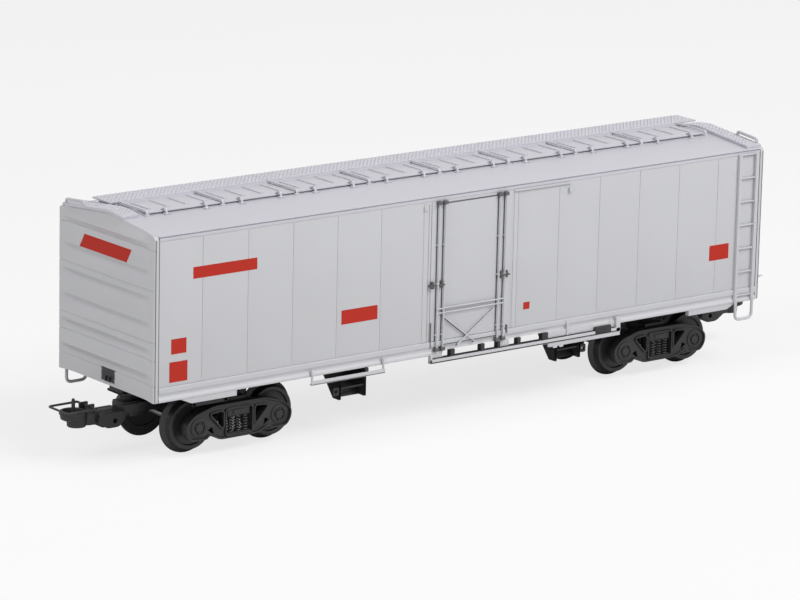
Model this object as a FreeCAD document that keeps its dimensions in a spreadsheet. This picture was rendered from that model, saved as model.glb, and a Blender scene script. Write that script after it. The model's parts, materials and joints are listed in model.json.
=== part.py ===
import FreeCAD, Part
import math
import os
import re
import Sketcher
from FreeCAD import Vector

# A covered hopper wagon in H0 scale, built the way the plastic model is built.
# Frame: +X along the wagon, +Y to its rear side, +Z up.  The origin is under the
# middle of the wagon on the surface that the wheel flanges stand on.  The wagon is
# the same when it is turned half way round the Z axis, except for the roof walkway
# and the handbrake shaft, so most pieces are described once and then turned.

doc = FreeCAD.newDocument("HopperWagon")
sheet = doc.addObject("Spreadsheet::Sheet", "Sizes")

# Heights are measured up from the rail head, where the wheel treads run; flange_depth
# lifts it all so that the flanges stand at zero.  Rises and drops are from the axle,
# the sill or the eave.  Lengths are in millimetres.
sizes = {
    # running gear
    "tread_radius": 5.2,
    "flange_depth": 1.1,
    "back_to_back": 14.4,
    "wheel_width": 2.8,
    "flange_width": 0.8,
    "flange_back": 0.65,
    "flange_front": 1.0,
    "flange_fillet": 0.25,
    "hub_radius": 1.9,
    "web_depth": 0.6,
    "rim_depth": 1.0,
    "axle_radius": 0.8,
    "axle_length": 24.4,
    "bearing_clearance": 0.08,
    "end_play": 0.1,
    # bogies
    "bogie_spacing": 113.2,
    "wheelbase": 20.0,
    "bogie_width": 25.8,
    "side_frame_thickness": 2.1,
    "frame_half_length": 13.2,
    "frame_rise": 4.1,
    "frame_drop": 3.3,
    "frame_bottom_half": 4.8,
    "box_half_width": 1.9,
    "box_drop": 2.8,
    "spring_window_half": 3.2,
    "spring_window_drop": 2.5,
    "spring_window_rise": 2.85,
    "frame_web": 0.75,
    "chord_shoulder": 3.6,
    "chord_slope": 1.2,
    "side_window_drop": 1.1,
    "bogie_bolster_half": 2.9,
    "bolster_under_rise": 2.7,
    "bolster_top_rise": 4.7,
    "pivot_radius": 1.2,
    "pivot_clearance": 0.08,
    "pivot_head_radius": 2.1,
    "pivot_head_height": 0.7,
    "centre_plate_radius": 3.4,
    "plate_gap": 0.1,
    # couplers
    "coupler_reach": 92.6,
    "loop_width": 7.4,
    "loop_wire": 0.5,
    "lug_half": 1.0,
    "lug_wall": 0.5,
    "loop_pivot_reach": 85.5,
    "loop_rise": 4.65,
    "loop_clearance": 0.06,
    "hook_reach": 88.7,
    "hook_radius": 0.4,
    "hook_rise": 6.6,
    "cup_radius": 2.9,
    "cup_wall": 0.6,
    "cup_foot_radius": 2.3,
    "cup_drop": 0.1,
    "cup_rise": 4.2,
    "cup_depth": 1.6,
    "draw_box_inner": 77.6,
    "draw_box_outer": 84.4,
    "draw_box_width": 5.2,
    "draw_box_drop": 0.2,
    "draw_box_rise": 3.1,
    "draw_hole_radius": 0.45,
    "draw_hole_reach": 80.2,
    "draw_hole_rise": 1.2,
    "shank_width": 3.0,
    "arm_width": 4.6,
    "arm_under_rise": 2.1,
    "arm_top_rise": 4.1,
    # body shell
    "body_length": 162.0,
    "body_width": 34.4,
    "wall": 1.0,
    "sill_rise": 8.2,
    "side_height": 34.1,
    "roof_rise": 1.7,
    "roof_thickness": 1.0,
    "sill_band": 3.1,
    "sill_bulge": 0.3,
    "skirt_drop": 1.2,
    "skirt_inner": 60.6,
    "skirt_outer": 71.7,
    "skirt_slope": 3.0,
    "floor_rise": 0.8,
    "floor_thickness": 0.8,
    "notch_left": 9.5,
    "notch_right": 24.5,
    "end_thickness": 1.2,
    "rib_head": 1.85,
    "rib_start": 5.5,
    "rib_height": 2.2,
    "rib_lip": 0.7,
    "rib_depth": 0.65,
    "rib_margin": 1.2,
    "slot_half_width": 2.2,
    "slot_foot": 0.8,
    "slot_rise": 3.2,
    # underframe
    "centre_sill_width": 6.0,
    "centre_sill_depth": 2.1,
    "centre_sill_length": 157.0,
    "bolster_width": 6.0,
    "bolster_span": 30.0,
    "ballast_length": 96.0,
    "ballast_width": 26.0,
    "ballast_height": 3.0,
    "bar_inner": 59.8,
    "bar_outer": 68.4,
    "bar_drop": 3.45,
    "bar_top_drop": 2.5,
    "bar_thickness": 0.8,
    "bar_reach": 12.6,
    "post_width": 0.9,
    # hopper chutes
    "chute_inner": 25.4,
    "chute_width": 7.1,
    "chute_front": 14.3,
    "chute_back": 6.5,
    "chute_drop": 7.1,
    "chute_lip": 12.2,
    "chute_plate": 0.6,
    "ear_width": 1.5,
    "ear_drop": 5.2,
    "ear_half": 0.9,
    "ear_hole_radius": 0.35,
    # roof fittings
    "hatch_pitch": 18.625,
    "hatch_half_width": 4.75,
    "hatch_rise": 0.35,
    "hatch_gap": 0.4,
    "strap_width": 0.7,
    "strap_thickness": 0.35,
    "strap_foot": 0.6,
    "latch_offset": 4.9,
    "latch_width": 0.7,
    "latch_reach": 1.3,
    "walkway_inner": 5.3,
    "walkway_outer": 11.7,
    "walkway_rise": 0.25,
    "walkway_thickness": 0.5,
    "platform_inner": 76.6,
    "platform_inset": 0.3,
    "platform_short": 5.0,
    "platform_long": 16.4,
    "platform_thickness": 0.8,
    "grab_inner": 8.6,
    "grab_outer": 15.6,
    "grab_height": 0.9,
    "grab_wire": 0.5,
    # side fittings
    "ladder_inner": 73.4,
    "ladder_outer": 78.9,
    "stile_width": 0.7,
    "stile_depth": 0.6,
    "rung_head": 0.9,
    "rung_start": 1.6,
    "rung_wire": 0.4,
    "step_drop": 4.1,
    "step_wire": 0.7,
    "step_corner": 0.9,
    "door_centre": -0.8,
    "door_half": 10.6,
    "door_head": 1.6,
    "door_thickness": 0.35,
    "rod_outer": 8.9,
    "rod_inner": 7.3,
    "rod_radius": 0.3,
    "rod_foot": 0.8,
    "rod_head": 1.1,
    "track_thickness": 0.6,
    "track_drop": 1.6,
    "track_top_drop": 0.7,
    "track_left": 10.7,
    "track_right": 40.4,
    "window_left": 33.3,
    "track_post": 0.7,
    "track_post_start": 7.1,
    "track_post_pitch": 9.3,
    "top_track_height": 0.4,
    "top_track_head": 1.1,
    "top_track_right": 25.8,
    "bracket_height": 1.6,
    "rail_left": 42.4,
    "rail_right": 23.4,
    "rail_drop": 1.7,
    "rail_top_drop": 0.8,
    # handbrake
    "brake_side": 14.5,
    "brake_rise": 4.3,
    "brake_radius": 0.35,
    "brake_reach": 3.4,
    "brake_collar_radius": 0.8,
    "brake_collar": 0.6,
}
RUNG_COUNT = 7
RIB_COUNT = 6
HATCH_COUNT = 8
TRACK_POST_COUNT = 4

# Heights that follow from others: the running gear stands on the axle, the body
# on the sill, and the door, the ladder and the roof fittings end under the eave.
following = {
    "frame_top": "tread_radius + frame_rise",
    "frame_bottom": "tread_radius - frame_drop",
    "box_bottom": "tread_radius - box_drop",
    "spring_window_low": "tread_radius - spring_window_drop",
    "spring_window_high": "tread_radius + spring_window_rise",
    "bogie_bolster_low": "tread_radius + bolster_under_rise",
    "bogie_bolster_high": "tread_radius + bolster_top_rise",
    "loop_height": "tread_radius + loop_rise",
    "hook_top": "tread_radius + hook_rise",
    "cup_bottom": "tread_radius - cup_drop",
    "cup_top": "tread_radius + cup_rise",
    "draw_box_low": "tread_radius - draw_box_drop",
    "draw_box_high": "tread_radius + draw_box_rise",
    "draw_hole_height": "tread_radius + draw_hole_rise",
    "arm_low": "tread_radius + arm_under_rise",
    "arm_high": "tread_radius + arm_top_rise",
    "sill_height": "tread_radius + sill_rise",
    "eave_height": "sill_height + side_height",
    "slot_low": "sill_height + slot_foot",
    "slot_top": "sill_height + slot_rise",
    "bar_low": "sill_height - bar_drop",
    "bar_high": "sill_height - bar_top_drop",
    "chute_bottom": "sill_height - chute_drop",
    "ear_height": "sill_height - ear_drop",
    "rib_low": "sill_height + rib_start",
    "rung_low": "sill_height + rung_start",
    "rod_low": "sill_height + rod_foot",
    "track_low": "sill_height - track_drop",
    "track_high": "sill_height - track_top_drop",
    "rail_low": "sill_height - rail_drop",
    "rail_high": "sill_height - rail_top_drop",
    "brake_height": "sill_height + brake_rise",
    "door_high": "eave_height - door_head",
    "rod_high": "eave_height - rod_head",
    "top_track_high": "eave_height - top_track_head",
    "top_track_low": "top_track_high - top_track_height",
    "hatch_top": "eave_height + roof_rise + hatch_rise",
    "walkway_low": "eave_height + roof_rise + walkway_rise",
    "rib_pitch": f"(eave_height - rib_head - rib_low) / {RIB_COUNT - 1}",
    "rung_pitch": f"(eave_height - rung_head - rung_low) / {RUNG_COUNT - 1}",
}
cells = {alias: str(number) for alias, number in sizes.items()}
cells.update({alias: f"={text}" for alias, text in following.items()})
for row, (alias, text) in enumerate(cells.items(), start=1):
    sheet.set(f"A{row}", alias)
    sheet.set(f"B{row}", text)
    sheet.setAlias(f"B{row}", alias)
doc.recompute()

# Formulas that several pieces share.
BODY_END = "body_length / 2"
BODY_SIDE = "body_width / 2"
INNER_SIDE = "(body_width / 2 - wall)"
EAVE_UNDER = "(eave_height - roof_thickness)"
ROOF_SLOPE = "roof_rise / (body_width / 2)"
RIDGE = "(eave_height + roof_rise)"
FLOOR_LOW = "(sill_height + floor_rise)"
FLOOR_TOP = "(sill_height + floor_rise + floor_thickness)"
END_INNER = "(body_length / 2 - end_thickness)"
BOGIE_X = "bogie_spacing / 2"
CENTRE_SILL_LOW = "(sill_height - centre_sill_depth)"


def roof_at(offset):
    """Height of the roof's outer surface at a distance from the ridge line."""
    return f"({RIDGE} - {ROOF_SLOPE} * ({offset}))"


def formula(text):
    """The same formula with every size name pointed at the sheet."""
    return re.sub(r"[a-z_]+", lambda word: prefixed(word.group()), text)


def prefixed(word):
    """A size name with the sheet's name in front; any other word is left alone."""
    return f"Sizes.{word}" if word in cells else word


def place(item, x_at="0", y_at="0", z_at="0"):
    """Bind where a shape stands, lifted from the rail head to the frame's zero."""
    item.setExpression("Placement.Base.x", formula(x_at))
    item.setExpression("Placement.Base.y", formula(y_at))
    item.setExpression("Placement.Base.z", formula(f"{z_at} + flange_depth"))


def box(name, x_range, y_range, z_range):
    """A box between two formulas along each axis."""
    item = doc.addObject("Part::Box", name)
    for size, (low, high) in zip(("Length", "Width", "Height"), (x_range, y_range, z_range)):
        item.setExpression(size, formula(f"({high}) - ({low})"))
    place(item, x_range[0], y_range[0], z_range[0])
    return item


TURNS = {
    "X": FreeCAD.Rotation(Vector(0, 1, 0), 90),
    "Y": FreeCAD.Rotation(Vector(1, 0, 0), -90),
    "Z": FreeCAD.Rotation(),
}


def rod(name, axis, start, length, radius):
    """A round bar that runs from its start point along one positive axis."""
    item = doc.addObject("Part::Cylinder", name)
    item.setExpression("Radius", formula(radius))
    item.setExpression("Height", formula(length))
    item.Placement.Rotation = TURNS[axis]
    place(item, *start)
    return item


def draw(sketch, corners):
    """Draw a closed outline whose corners are each held by two formulas."""
    first = sketch.GeometryCount
    count = len(corners)
    rough = [
        Vector(math.cos(2 * math.pi * turn / count), math.sin(2 * math.pi * turn / count), 0)
        for turn in range(count)
    ]
    for at in range(count):
        sketch.addGeometry(Part.LineSegment(rough[at], rough[(at + 1) % count]))
    for at in range(count):
        following = first + (at + 1) % count
        sketch.addConstraint(Sketcher.Constraint("Coincident", first + at, 2, following, 1))
    for at, corner in enumerate(corners):
        for kind, value, start in zip(("DistanceX", "DistanceY"), corner, rough[at]):
            number = sketch.addConstraint(Sketcher.Constraint(kind, -1, 1, first + at, 1, start))
            sketch.setExpression(f"Constraints[{number}]", formula(value))


def sketched(name, plane, outlines):
    """A body that holds one sketch of closed outlines on one of its own planes."""
    body = doc.addObject("PartDesign::Body", name)
    sketch = body.newObject("Sketcher::SketchObject", f"{name}_sketch")
    origin_plane = [item for item in body.Origin.OriginFeatures if item.Role == plane][0]
    sketch.AttachmentSupport = [(origin_plane, "")]
    sketch.MapMode = "FlatFace"
    for outline in outlines:
        draw(sketch, outline)
    return body, sketch


def pad_x(name, x_range, outline, *holes):
    """A plate: an outline in Y and Z, run along X between two formulas."""
    body, sketch = sketched(name, "YZ_Plane", [outline, *holes])
    pad = body.newObject("PartDesign::Pad", f"{name}_pad")
    pad.Profile = sketch
    pad.setExpression("Length", formula(f"({x_range[1]}) - ({x_range[0]})"))
    place(body, x_at=x_range[0])
    return body


def pad_y(name, y_range, outline, *holes, x_at="0"):
    """A plate: an outline in X and Z, run along Y between two formulas."""
    body, sketch = sketched(name, "XZ_Plane", [outline, *holes])
    pad = body.newObject("PartDesign::Pad", f"{name}_pad")
    pad.Profile = sketch
    pad.Reversed = True
    pad.setExpression("Length", formula(f"({y_range[1]}) - ({y_range[0]})"))
    place(body, x_at=x_at, y_at=y_range[0])
    return body


def spun_about_y(name, outline):
    """A wheel: an outline in Y and radius, spun about the Y axis."""
    body, sketch = sketched(name, "YZ_Plane", [outline])
    spin = body.newObject("PartDesign::Revolution", f"{name}_spin")
    spin.Profile = sketch
    spin.ReferenceAxis = (sketch, ["H_Axis"])
    spin.Angle = 360
    return body


def fused(name, shapes):
    """One solid of several that touch."""
    item = doc.addObject("Part::MultiFuse", name)
    item.Shapes = shapes
    return item


def cut(name, base, tools):
    """A shape with one or more others taken out of it."""
    item = doc.addObject("Part::Cut", name)
    item.Base = base
    item.Tool = tools[0] if len(tools) == 1 else fused(f"{name}_tools", tools)
    return item


HALF_TURN = FreeCAD.Placement(Vector(), FreeCAD.Rotation(Vector(0, 0, 1), 180))
pieces = []


def piece(label, shapes, turned=False):
    """Name a finished piece; a turned one stands half way round the wagon."""
    if len(shapes) == 1 and not turned:
        item = shapes[0]
    else:
        item = doc.addObject("Part::Compound", f"{label}_piece")
        item.Links = shapes
    if turned:
        item.Placement = HALF_TURN
    item.Label = label
    pieces.append(item)


def both_ways_round(label_front, label_rear, make):
    """Make one piece at the front or left, and its twin turned half way round."""
    piece(label_front, make(label_front))
    piece(label_rear, make(label_rear), turned=True)


# ---------------------------------------------------------------- body shell

def side_wall(name):
    """A side with two skirts over the bogies, a sill band along its foot, and a
    notch in its foot where daylight shows over the door rail."""
    skirt_low = "sill_height - skirt_drop"
    half = [
        (END_INNER, EAVE_UNDER),
        (END_INNER, "sill_height"),
        ("skirt_outer + skirt_slope", "sill_height"),
        ("skirt_outer", skirt_low),
        ("skirt_inner", skirt_low),
        ("skirt_inner", "sill_height"),
    ]
    other_half = [(f"-({across})", up) for across, up in reversed(half)]
    plate = pad_y(f"{name}_plate", (f"-{BODY_SIDE}", f"-{INNER_SIDE}"), half + other_half)
    band = box(
        f"{name}_band",
        (f"-{END_INNER}", END_INNER),
        (f"-({BODY_SIDE} + sill_bulge)", f"-{BODY_SIDE}"),
        ("sill_height", "sill_height + sill_band"),
    )
    notch = box(
        f"{name}_notch",
        ("-notch_left", "notch_right"),
        (f"-({BODY_SIDE} + wall)", f"-({INNER_SIDE} - wall)"),
        ("sill_height - wall", FLOOR_LOW),
    )
    return [cut(f"{name}_solid", fused(f"{name}_whole", [plate, band]), [notch])]


def end_wall(name):
    """A gabled end moulding that closes the sides and the roof, with ribs across its
    face and a slot in its foot."""
    gable = [
        (f"-{BODY_SIDE}", "sill_height"),
        (BODY_SIDE, "sill_height"),
        (BODY_SIDE, "eave_height"),
        ("0", RIDGE),
        (f"-{BODY_SIDE}", "eave_height"),
    ]
    plate = pad_x(f"{name}_plate", (f"-{BODY_END}", f"-{END_INNER}"), gable)
    ribs = []
    for at in range(RIB_COUNT):
        low = f"(rib_low + {at} * rib_pitch)"
        rib = pad_y(
            f"{name}_rib_{at + 1}",
            (f"-({BODY_SIDE} - rib_margin)", f"{BODY_SIDE} - rib_margin"),
            [
                (f"-({BODY_END} + rib_depth)", low),
                (f"-{BODY_END}", low),
                (f"-{BODY_END}", f"{low} + rib_height"),
                (f"-({BODY_END} + rib_depth)", f"{low} + rib_lip"),
            ],
        )
        ribs.append(rib)
    slot = box(
        f"{name}_slot",
        (f"-({BODY_END} + rib_depth)", f"-{END_INNER}"),
        ("-slot_half_width", "slot_half_width"),
        ("slot_low", "slot_top"),
    )
    return [cut(f"{name}_solid", fused(f"{name}_ribbed", [plate, *ribs]), [slot])]


both_ways_round("front_side_wall", "rear_side_wall", side_wall)
both_ways_round("left_end_wall", "right_end_wall", end_wall)

piece("roof", [
    pad_x(
        "roof_sheet",
        (f"-{END_INNER}", END_INNER),
        [
            (f"-{BODY_SIDE}", "eave_height"),
            (f"-{BODY_SIDE}", EAVE_UNDER),
            ("0", f"{EAVE_UNDER} + roof_rise"),
            (BODY_SIDE, EAVE_UNDER),
            (BODY_SIDE, "eave_height"),
            ("0", RIDGE),
        ],
    ),
])

# ---------------------------------------------------------------- underframe

piece("floor", [
    box(
        "floor_plate",
        (f"-{END_INNER}", END_INNER),
        (f"-{INNER_SIDE}", INNER_SIDE),
        (FLOOR_LOW, FLOOR_TOP),
    ),
])
piece("centre_sill", [
    box(
        "centre_sill_beam",
        ("-centre_sill_length / 2", "centre_sill_length / 2"),
        ("-centre_sill_width / 2", "centre_sill_width / 2"),
        (CENTRE_SILL_LOW, FLOOR_LOW),
    ),
])
piece("ballast_weight", [
    box(
        "ballast_plate",
        ("-ballast_length / 2", "ballast_length / 2"),
        ("-ballast_width / 2", "ballast_width / 2"),
        (FLOOR_TOP, f"{FLOOR_TOP} + ballast_height"),
    ),
])


def body_bolster(name):
    """A cross beam over the bogie, in two arms either side of the centre sill,
    with the centre plate that the bogie turns under."""
    arms = []
    for side, sign in (("near", "-"), ("far", "")):
        reach = f"{sign}bolster_span / 2"
        root = f"{sign}centre_sill_width / 2"
        arms.append(box(
            f"{name}_{side}_arm",
            (f"-{BOGIE_X} - bolster_width / 2", f"-{BOGIE_X} + bolster_width / 2"),
            (reach, root) if sign else (root, reach),
            (CENTRE_SILL_LOW, FLOOR_LOW),
        ))
    return arms


def centre_plate(name):
    """The round plate under the centre sill and the screw that holds the bogie."""
    plate_low = "(bogie_bolster_high + plate_gap)"
    head_top = "(bogie_bolster_low - plate_gap)"
    plate = rod(
        f"{name}_plate", "Z", (f"-{BOGIE_X}", "0", plate_low),
        f"{CENTRE_SILL_LOW} - {plate_low}", "centre_plate_radius",
    )
    shaft = rod(
        f"{name}_shaft", "Z", (f"-{BOGIE_X}", "0", head_top),
        f"{plate_low} - {head_top}", "pivot_radius",
    )
    head = rod(
        f"{name}_head", "Z", (f"-{BOGIE_X}", "0", f"{head_top} - pivot_head_height"),
        "pivot_head_height", "pivot_head_radius",
    )
    return [fused(f"{name}_solid", [plate, shaft, head])]


both_ways_round("left_body_bolster", "right_body_bolster", body_bolster)
both_ways_round("left_bogie_pivot", "right_bogie_pivot", centre_plate)


def brake_bar(name):
    """The bar over the bogie's side frame, on a post from the floor."""
    bar = box(
        f"{name}_bar",
        ("-bar_outer", "-bar_inner"),
        ("-bar_reach - bar_thickness / 2", "-bar_reach + bar_thickness / 2"),
        ("bar_low", "bar_high"),
    )
    post = box(
        f"{name}_post",
        ("-bar_inner - post_width", "-bar_inner"),
        ("-bar_reach - bar_thickness / 2", "-bar_reach + bar_thickness / 2"),
        ("bar_high", FLOOR_LOW),
    )
    return [fused(f"{name}_solid", [bar, post])]


both_ways_round("front_brake_bar", "rear_brake_bar", brake_bar)


def chute(sign):
    """An open outlet: two cheeks and a back plate that slopes out to the foot."""
    def make(name):
        near_end = "chute_inner" if sign > 0 else "-(chute_inner + chute_width)"
        far_end = "(chute_inner + chute_width)" if sign > 0 else "-chute_inner"
        cheek_outline = [
            ("-chute_front", FLOOR_LOW),
            ("-chute_front", "chute_bottom"),
            ("-chute_lip", "chute_bottom"),
            ("-chute_back", "sill_height - wall"),
            ("-chute_back", FLOOR_LOW),
        ]
        back_outline = [
            ("-chute_lip - chute_plate", "chute_bottom"),
            ("-chute_lip", "chute_bottom"),
            ("-chute_back", "sill_height - wall"),
            ("-chute_back", FLOOR_LOW),
            ("-chute_back - chute_plate", FLOOR_LOW),
            ("-chute_back - chute_plate", "sill_height - wall"),
        ]
        shapes = [
            pad_x(f"{name}_cheek_a", (near_end, f"{near_end} + chute_plate"), cheek_outline),
            pad_x(f"{name}_cheek_b", (f"{far_end} - chute_plate", far_end), cheek_outline),
            pad_x(f"{name}_back", (near_end, far_end), back_outline),
        ]
        ear_range = (far_end, f"{far_end} + ear_width")
        if sign < 0:
            ear_range = (f"{near_end} - ear_width", near_end)
        shapes.append(box(
            f"{name}_ear",
            ear_range,
            ("-chute_front", "-chute_front + chute_plate"),
            ("ear_height - ear_half", "ear_height + ear_half"),
        ))
        hole = rod(
            f"{name}_ear_hole", "Y",
            (f"{ear_range[0]} + ear_width / 2", "-chute_front - wall", "ear_height"),
            "chute_plate + 2 * wall", "ear_hole_radius",
        )
        return [cut(f"{name}_solid", fused(f"{name}_plates", shapes), [hole])]
    return make


both_ways_round("front_left_chute", "rear_right_chute", chute(-1))
both_ways_round("front_right_chute", "rear_left_chute", chute(1))

# ---------------------------------------------------------------- roof fittings


def hatch(name, middle):
    """A flat cover whose underside fits over the ridge."""
    half = "(hatch_pitch - hatch_gap) / 2"
    return pad_x(
        name,
        (f"{middle} - {half}", f"{middle} + {half}"),
        [
            ("-hatch_half_width", roof_at("hatch_half_width")),
            ("0", RIDGE),
            ("hatch_half_width", roof_at("hatch_half_width")),
            ("hatch_half_width", "hatch_top"),
            ("-hatch_half_width", "hatch_top"),
        ],
    )


def strap(name, middle):
    """A bar across the covers, bent down to a foot on the roof at the front edge."""
    across = (f"{middle} - strap_width / 2", f"{middle} + strap_width / 2")
    foot_reach = "(hatch_half_width + strap_foot)"
    return pad_x(
        name,
        across,
        [
            (f"-{foot_reach}", roof_at(foot_reach)),
            ("-hatch_half_width", roof_at("hatch_half_width")),
            ("-hatch_half_width", "hatch_top"),
            ("hatch_half_width", "hatch_top"),
            ("hatch_half_width", "hatch_top + strap_thickness"),
            (f"-{foot_reach}", "hatch_top + strap_thickness"),
        ],
    )


def latch(name, middle):
    """A hinged catch on the front edge of a cover."""
    reach = "(hatch_half_width + latch_reach)"
    return pad_x(
        name,
        (f"{middle} - latch_width / 2", f"{middle} + latch_width / 2"),
        [
            (f"-{reach}", roof_at(reach)),
            ("-hatch_half_width", roof_at("hatch_half_width")),
            ("-hatch_half_width", "hatch_top"),
            ("-hatch_half_width + strap_thickness", "hatch_top"),
            ("-hatch_half_width + strap_thickness", "hatch_top + strap_thickness"),
            ("-hatch_half_width - strap_thickness", "hatch_top + strap_thickness"),
        ],
    )


hatch_middles = [f"{at - (HATCH_COUNT - 1) / 2} * hatch_pitch" for at in range(HATCH_COUNT)]
for number, middle in enumerate(hatch_middles, start=1):
    piece(f"roof_hatch_{number}", [hatch(f"hatch_{number}", middle)])

strap_middles = [f"{at - HATCH_COUNT / 2} * hatch_pitch" for at in range(HATCH_COUNT + 1)]
piece("hatch_straps", [
    strap(f"strap_{number}", middle) for number, middle in enumerate(strap_middles, start=1)
])
piece("hatch_latches", [
    latch(f"latch_{number}_{way}", f"{middle} {sign} latch_offset")
    for number, middle in enumerate(hatch_middles, start=1)
    for way, sign in (("a", "-"), ("b", "+"))
])

walkway_board = box(
    "walkway_board",
    ("-platform_inner", f"{BODY_END} - platform_inset"),
    ("walkway_inner", "walkway_outer"),
    ("walkway_low", "walkway_low + walkway_thickness"),
)
walkway_feet = [
    pad_x(
        f"walkway_foot_{number}",
        (f"{middle} - strap_width", f"{middle} + strap_width"),
        [
            ("walkway_inner", roof_at("walkway_inner")),
            ("walkway_outer", roof_at("walkway_outer")),
            ("walkway_outer", "walkway_low"),
            ("walkway_inner", "walkway_low"),
        ],
    )
    for number, middle in enumerate(strap_middles, start=1)
]
piece("roof_walkway", [fused("walkway_solid", [walkway_board, *walkway_feet])])


def roof_platform(name):
    """A board across the roof's end that follows its two slopes."""
    return [pad_x(
        f"{name}_board",
        (f"-({BODY_END} - platform_inset)", "-platform_inner"),
        [
            ("-platform_short", roof_at("platform_short")),
            ("0", RIDGE),
            ("platform_long", roof_at("platform_long")),
            ("platform_long", f"{roof_at('platform_long')} + platform_thickness"),
            ("0", f"{RIDGE} + platform_thickness"),
            ("-platform_short", f"{roof_at('platform_short')} + platform_thickness"),
        ],
    )]


def roof_grab_iron(name):
    """A low handrail on the outer end of the platform, over the ladder."""
    inner_foot = f"({roof_at('grab_inner')} + platform_thickness)"
    outer_foot = f"({roof_at('grab_outer')} + platform_thickness)"
    outer_edge = f"-({BODY_END} - platform_inset)"
    return [pad_x(
        f"{name}_bar",
        (outer_edge, f"{outer_edge} + grab_wire"),
        [
            ("grab_inner", inner_foot),
            ("grab_inner + grab_wire", f"{inner_foot} - {ROOF_SLOPE} * grab_wire"),
            ("grab_inner + grab_wire", f"{inner_foot} + grab_height - grab_wire"),
            ("grab_outer - grab_wire", f"{outer_foot} + grab_height - grab_wire"),
            ("grab_outer - grab_wire", f"{outer_foot} + {ROOF_SLOPE} * grab_wire"),
            ("grab_outer", outer_foot),
            ("grab_outer", f"{outer_foot} + grab_height"),
            ("grab_inner", f"{inner_foot} + grab_height"),
        ],
    )]


both_ways_round("left_roof_platform", "right_roof_platform", roof_platform)
both_ways_round("left_roof_grab_iron", "right_roof_grab_iron", roof_grab_iron)

# ---------------------------------------------------------------- side fittings

WALL_FACE = f"({BODY_SIDE} + sill_bulge)"
DOOR_FACE = f"({BODY_SIDE} + door_thickness)"


def ladder(name):
    """Two stiles with seven rungs, fixed to the right end of the side."""
    face = (f"-({WALL_FACE} + stile_depth)", f"-{WALL_FACE}")
    shapes = []
    for way, low in (("inner", "ladder_inner"), ("outer", "ladder_outer - stile_width")):
        shapes.append(box(
            f"{name}_{way}_stile", (low, f"{low} + stile_width"), face,
            ("sill_height", EAVE_UNDER),
        ))
        shapes.append(box(
            f"{name}_{way}_root", (low, f"{low} + stile_width"),
            (f"-{WALL_FACE}", f"-{BODY_SIDE}"), ("sill_height + sill_band", EAVE_UNDER),
        ))
    for at in range(RUNG_COUNT):
        low = f"(rung_low + {at} * rung_pitch)"
        shapes.append(box(
            f"{name}_rung_{at + 1}",
            ("ladder_inner + stile_width", "ladder_outer - stile_width"),
            (f"-({WALL_FACE} + rung_wire)", f"-{WALL_FACE}"),
            (f"{low} - rung_wire / 2", f"{low} + rung_wire / 2"),
        ))
    return [fused(f"{name}_solid", shapes)]


def side_step(name):
    """A stirrup under the ladder, its corners cut off."""
    low = "(sill_height - step_drop)"
    return [pad_y(
        f"{name}_bar",
        (f"-({WALL_FACE} + step_wire)", f"-{WALL_FACE}"),
        [
            ("ladder_inner", "sill_height"),
            ("ladder_inner", f"{low} + step_corner"),
            ("ladder_inner + step_corner", low),
            ("ladder_outer - step_corner", low),
            ("ladder_outer", f"{low} + step_corner"),
            ("ladder_outer", "sill_height"),
            ("ladder_outer - step_wire", "sill_height"),
            ("ladder_outer - step_wire", f"{low} + step_corner + step_wire / 2"),
            ("ladder_outer - step_corner - step_wire / 2", f"{low} + step_wire"),
            ("ladder_inner + step_corner + step_wire / 2", f"{low} + step_wire"),
            ("ladder_inner + step_wire", f"{low} + step_corner + step_wire / 2"),
            ("ladder_inner + step_wire", "sill_height"),
        ],
    )]


def door(name):
    """A single plug door over the sill band, a little proud of the side."""
    return [box(
        f"{name}_leaf",
        ("door_centre - door_half", "door_centre + door_half"),
        (f"-{DOOR_FACE}", f"-{BODY_SIDE}"),
        ("sill_height + sill_band", "door_high"),
    )]


def door_rods(name):
    """Four upright locking rods on the door."""
    rods = []
    for number, offset in enumerate(("-rod_outer", "-rod_inner", "rod_inner", "rod_outer")):
        rods.append(rod(
            f"{name}_{number + 1}", "Z",
            (f"door_centre {offset if offset[0] == '-' else '+ ' + offset}",
             f"-({DOOR_FACE} + rod_radius)", "rod_low"),
            "rod_high - rod_low", "rod_radius",
        ))
    return rods


def door_track(name):
    """The rail under the sill that the door runs on, with posts and end brackets,
    and the thin guide over the door."""
    face = (f"-({WALL_FACE} + track_thickness)", f"-{BODY_SIDE}")
    left_end = "(door_centre - track_left)"
    shapes = [box(f"{name}_rail", (left_end, "track_right"), face, ("track_low", "track_high"))]
    posts = [left_end] + [
        f"({left_end} + track_post_start + {at} * track_post_pitch)" for at in range(TRACK_POST_COUNT)
    ]
    for at, post in enumerate(posts):
        shapes.append(box(
            f"{name}_post_{at + 1}", (post, f"{post} + track_post"), face,
            ("track_high", FLOOR_LOW if at else "sill_height"),
        ))
    shapes.append(box(
        f"{name}_end_post", ("track_right - track_post", "track_right"), face,
        ("track_high", "sill_height"),
    ))
    shapes.append(box(
        f"{name}_backing", ("notch_right", "window_left"), face, ("track_high", "sill_height"),
    ))
    shapes.append(box(
        f"{name}_stop", ("track_right - track_post", "track_right"),
        (f"-({WALL_FACE} + track_thickness)", f"-{WALL_FACE}"),
        ("sill_height", "sill_height + bracket_height"),
    ))
    lower = fused(f"{name}_lower", shapes)
    upper = box(
        f"{name}_guide",
        ("door_centre + door_half + track_post", "top_track_right"),
        (f"-({BODY_SIDE} + track_thickness)", f"-{BODY_SIDE}"),
        ("top_track_low", "top_track_high"),
    )
    return [lower, upper]


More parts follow.
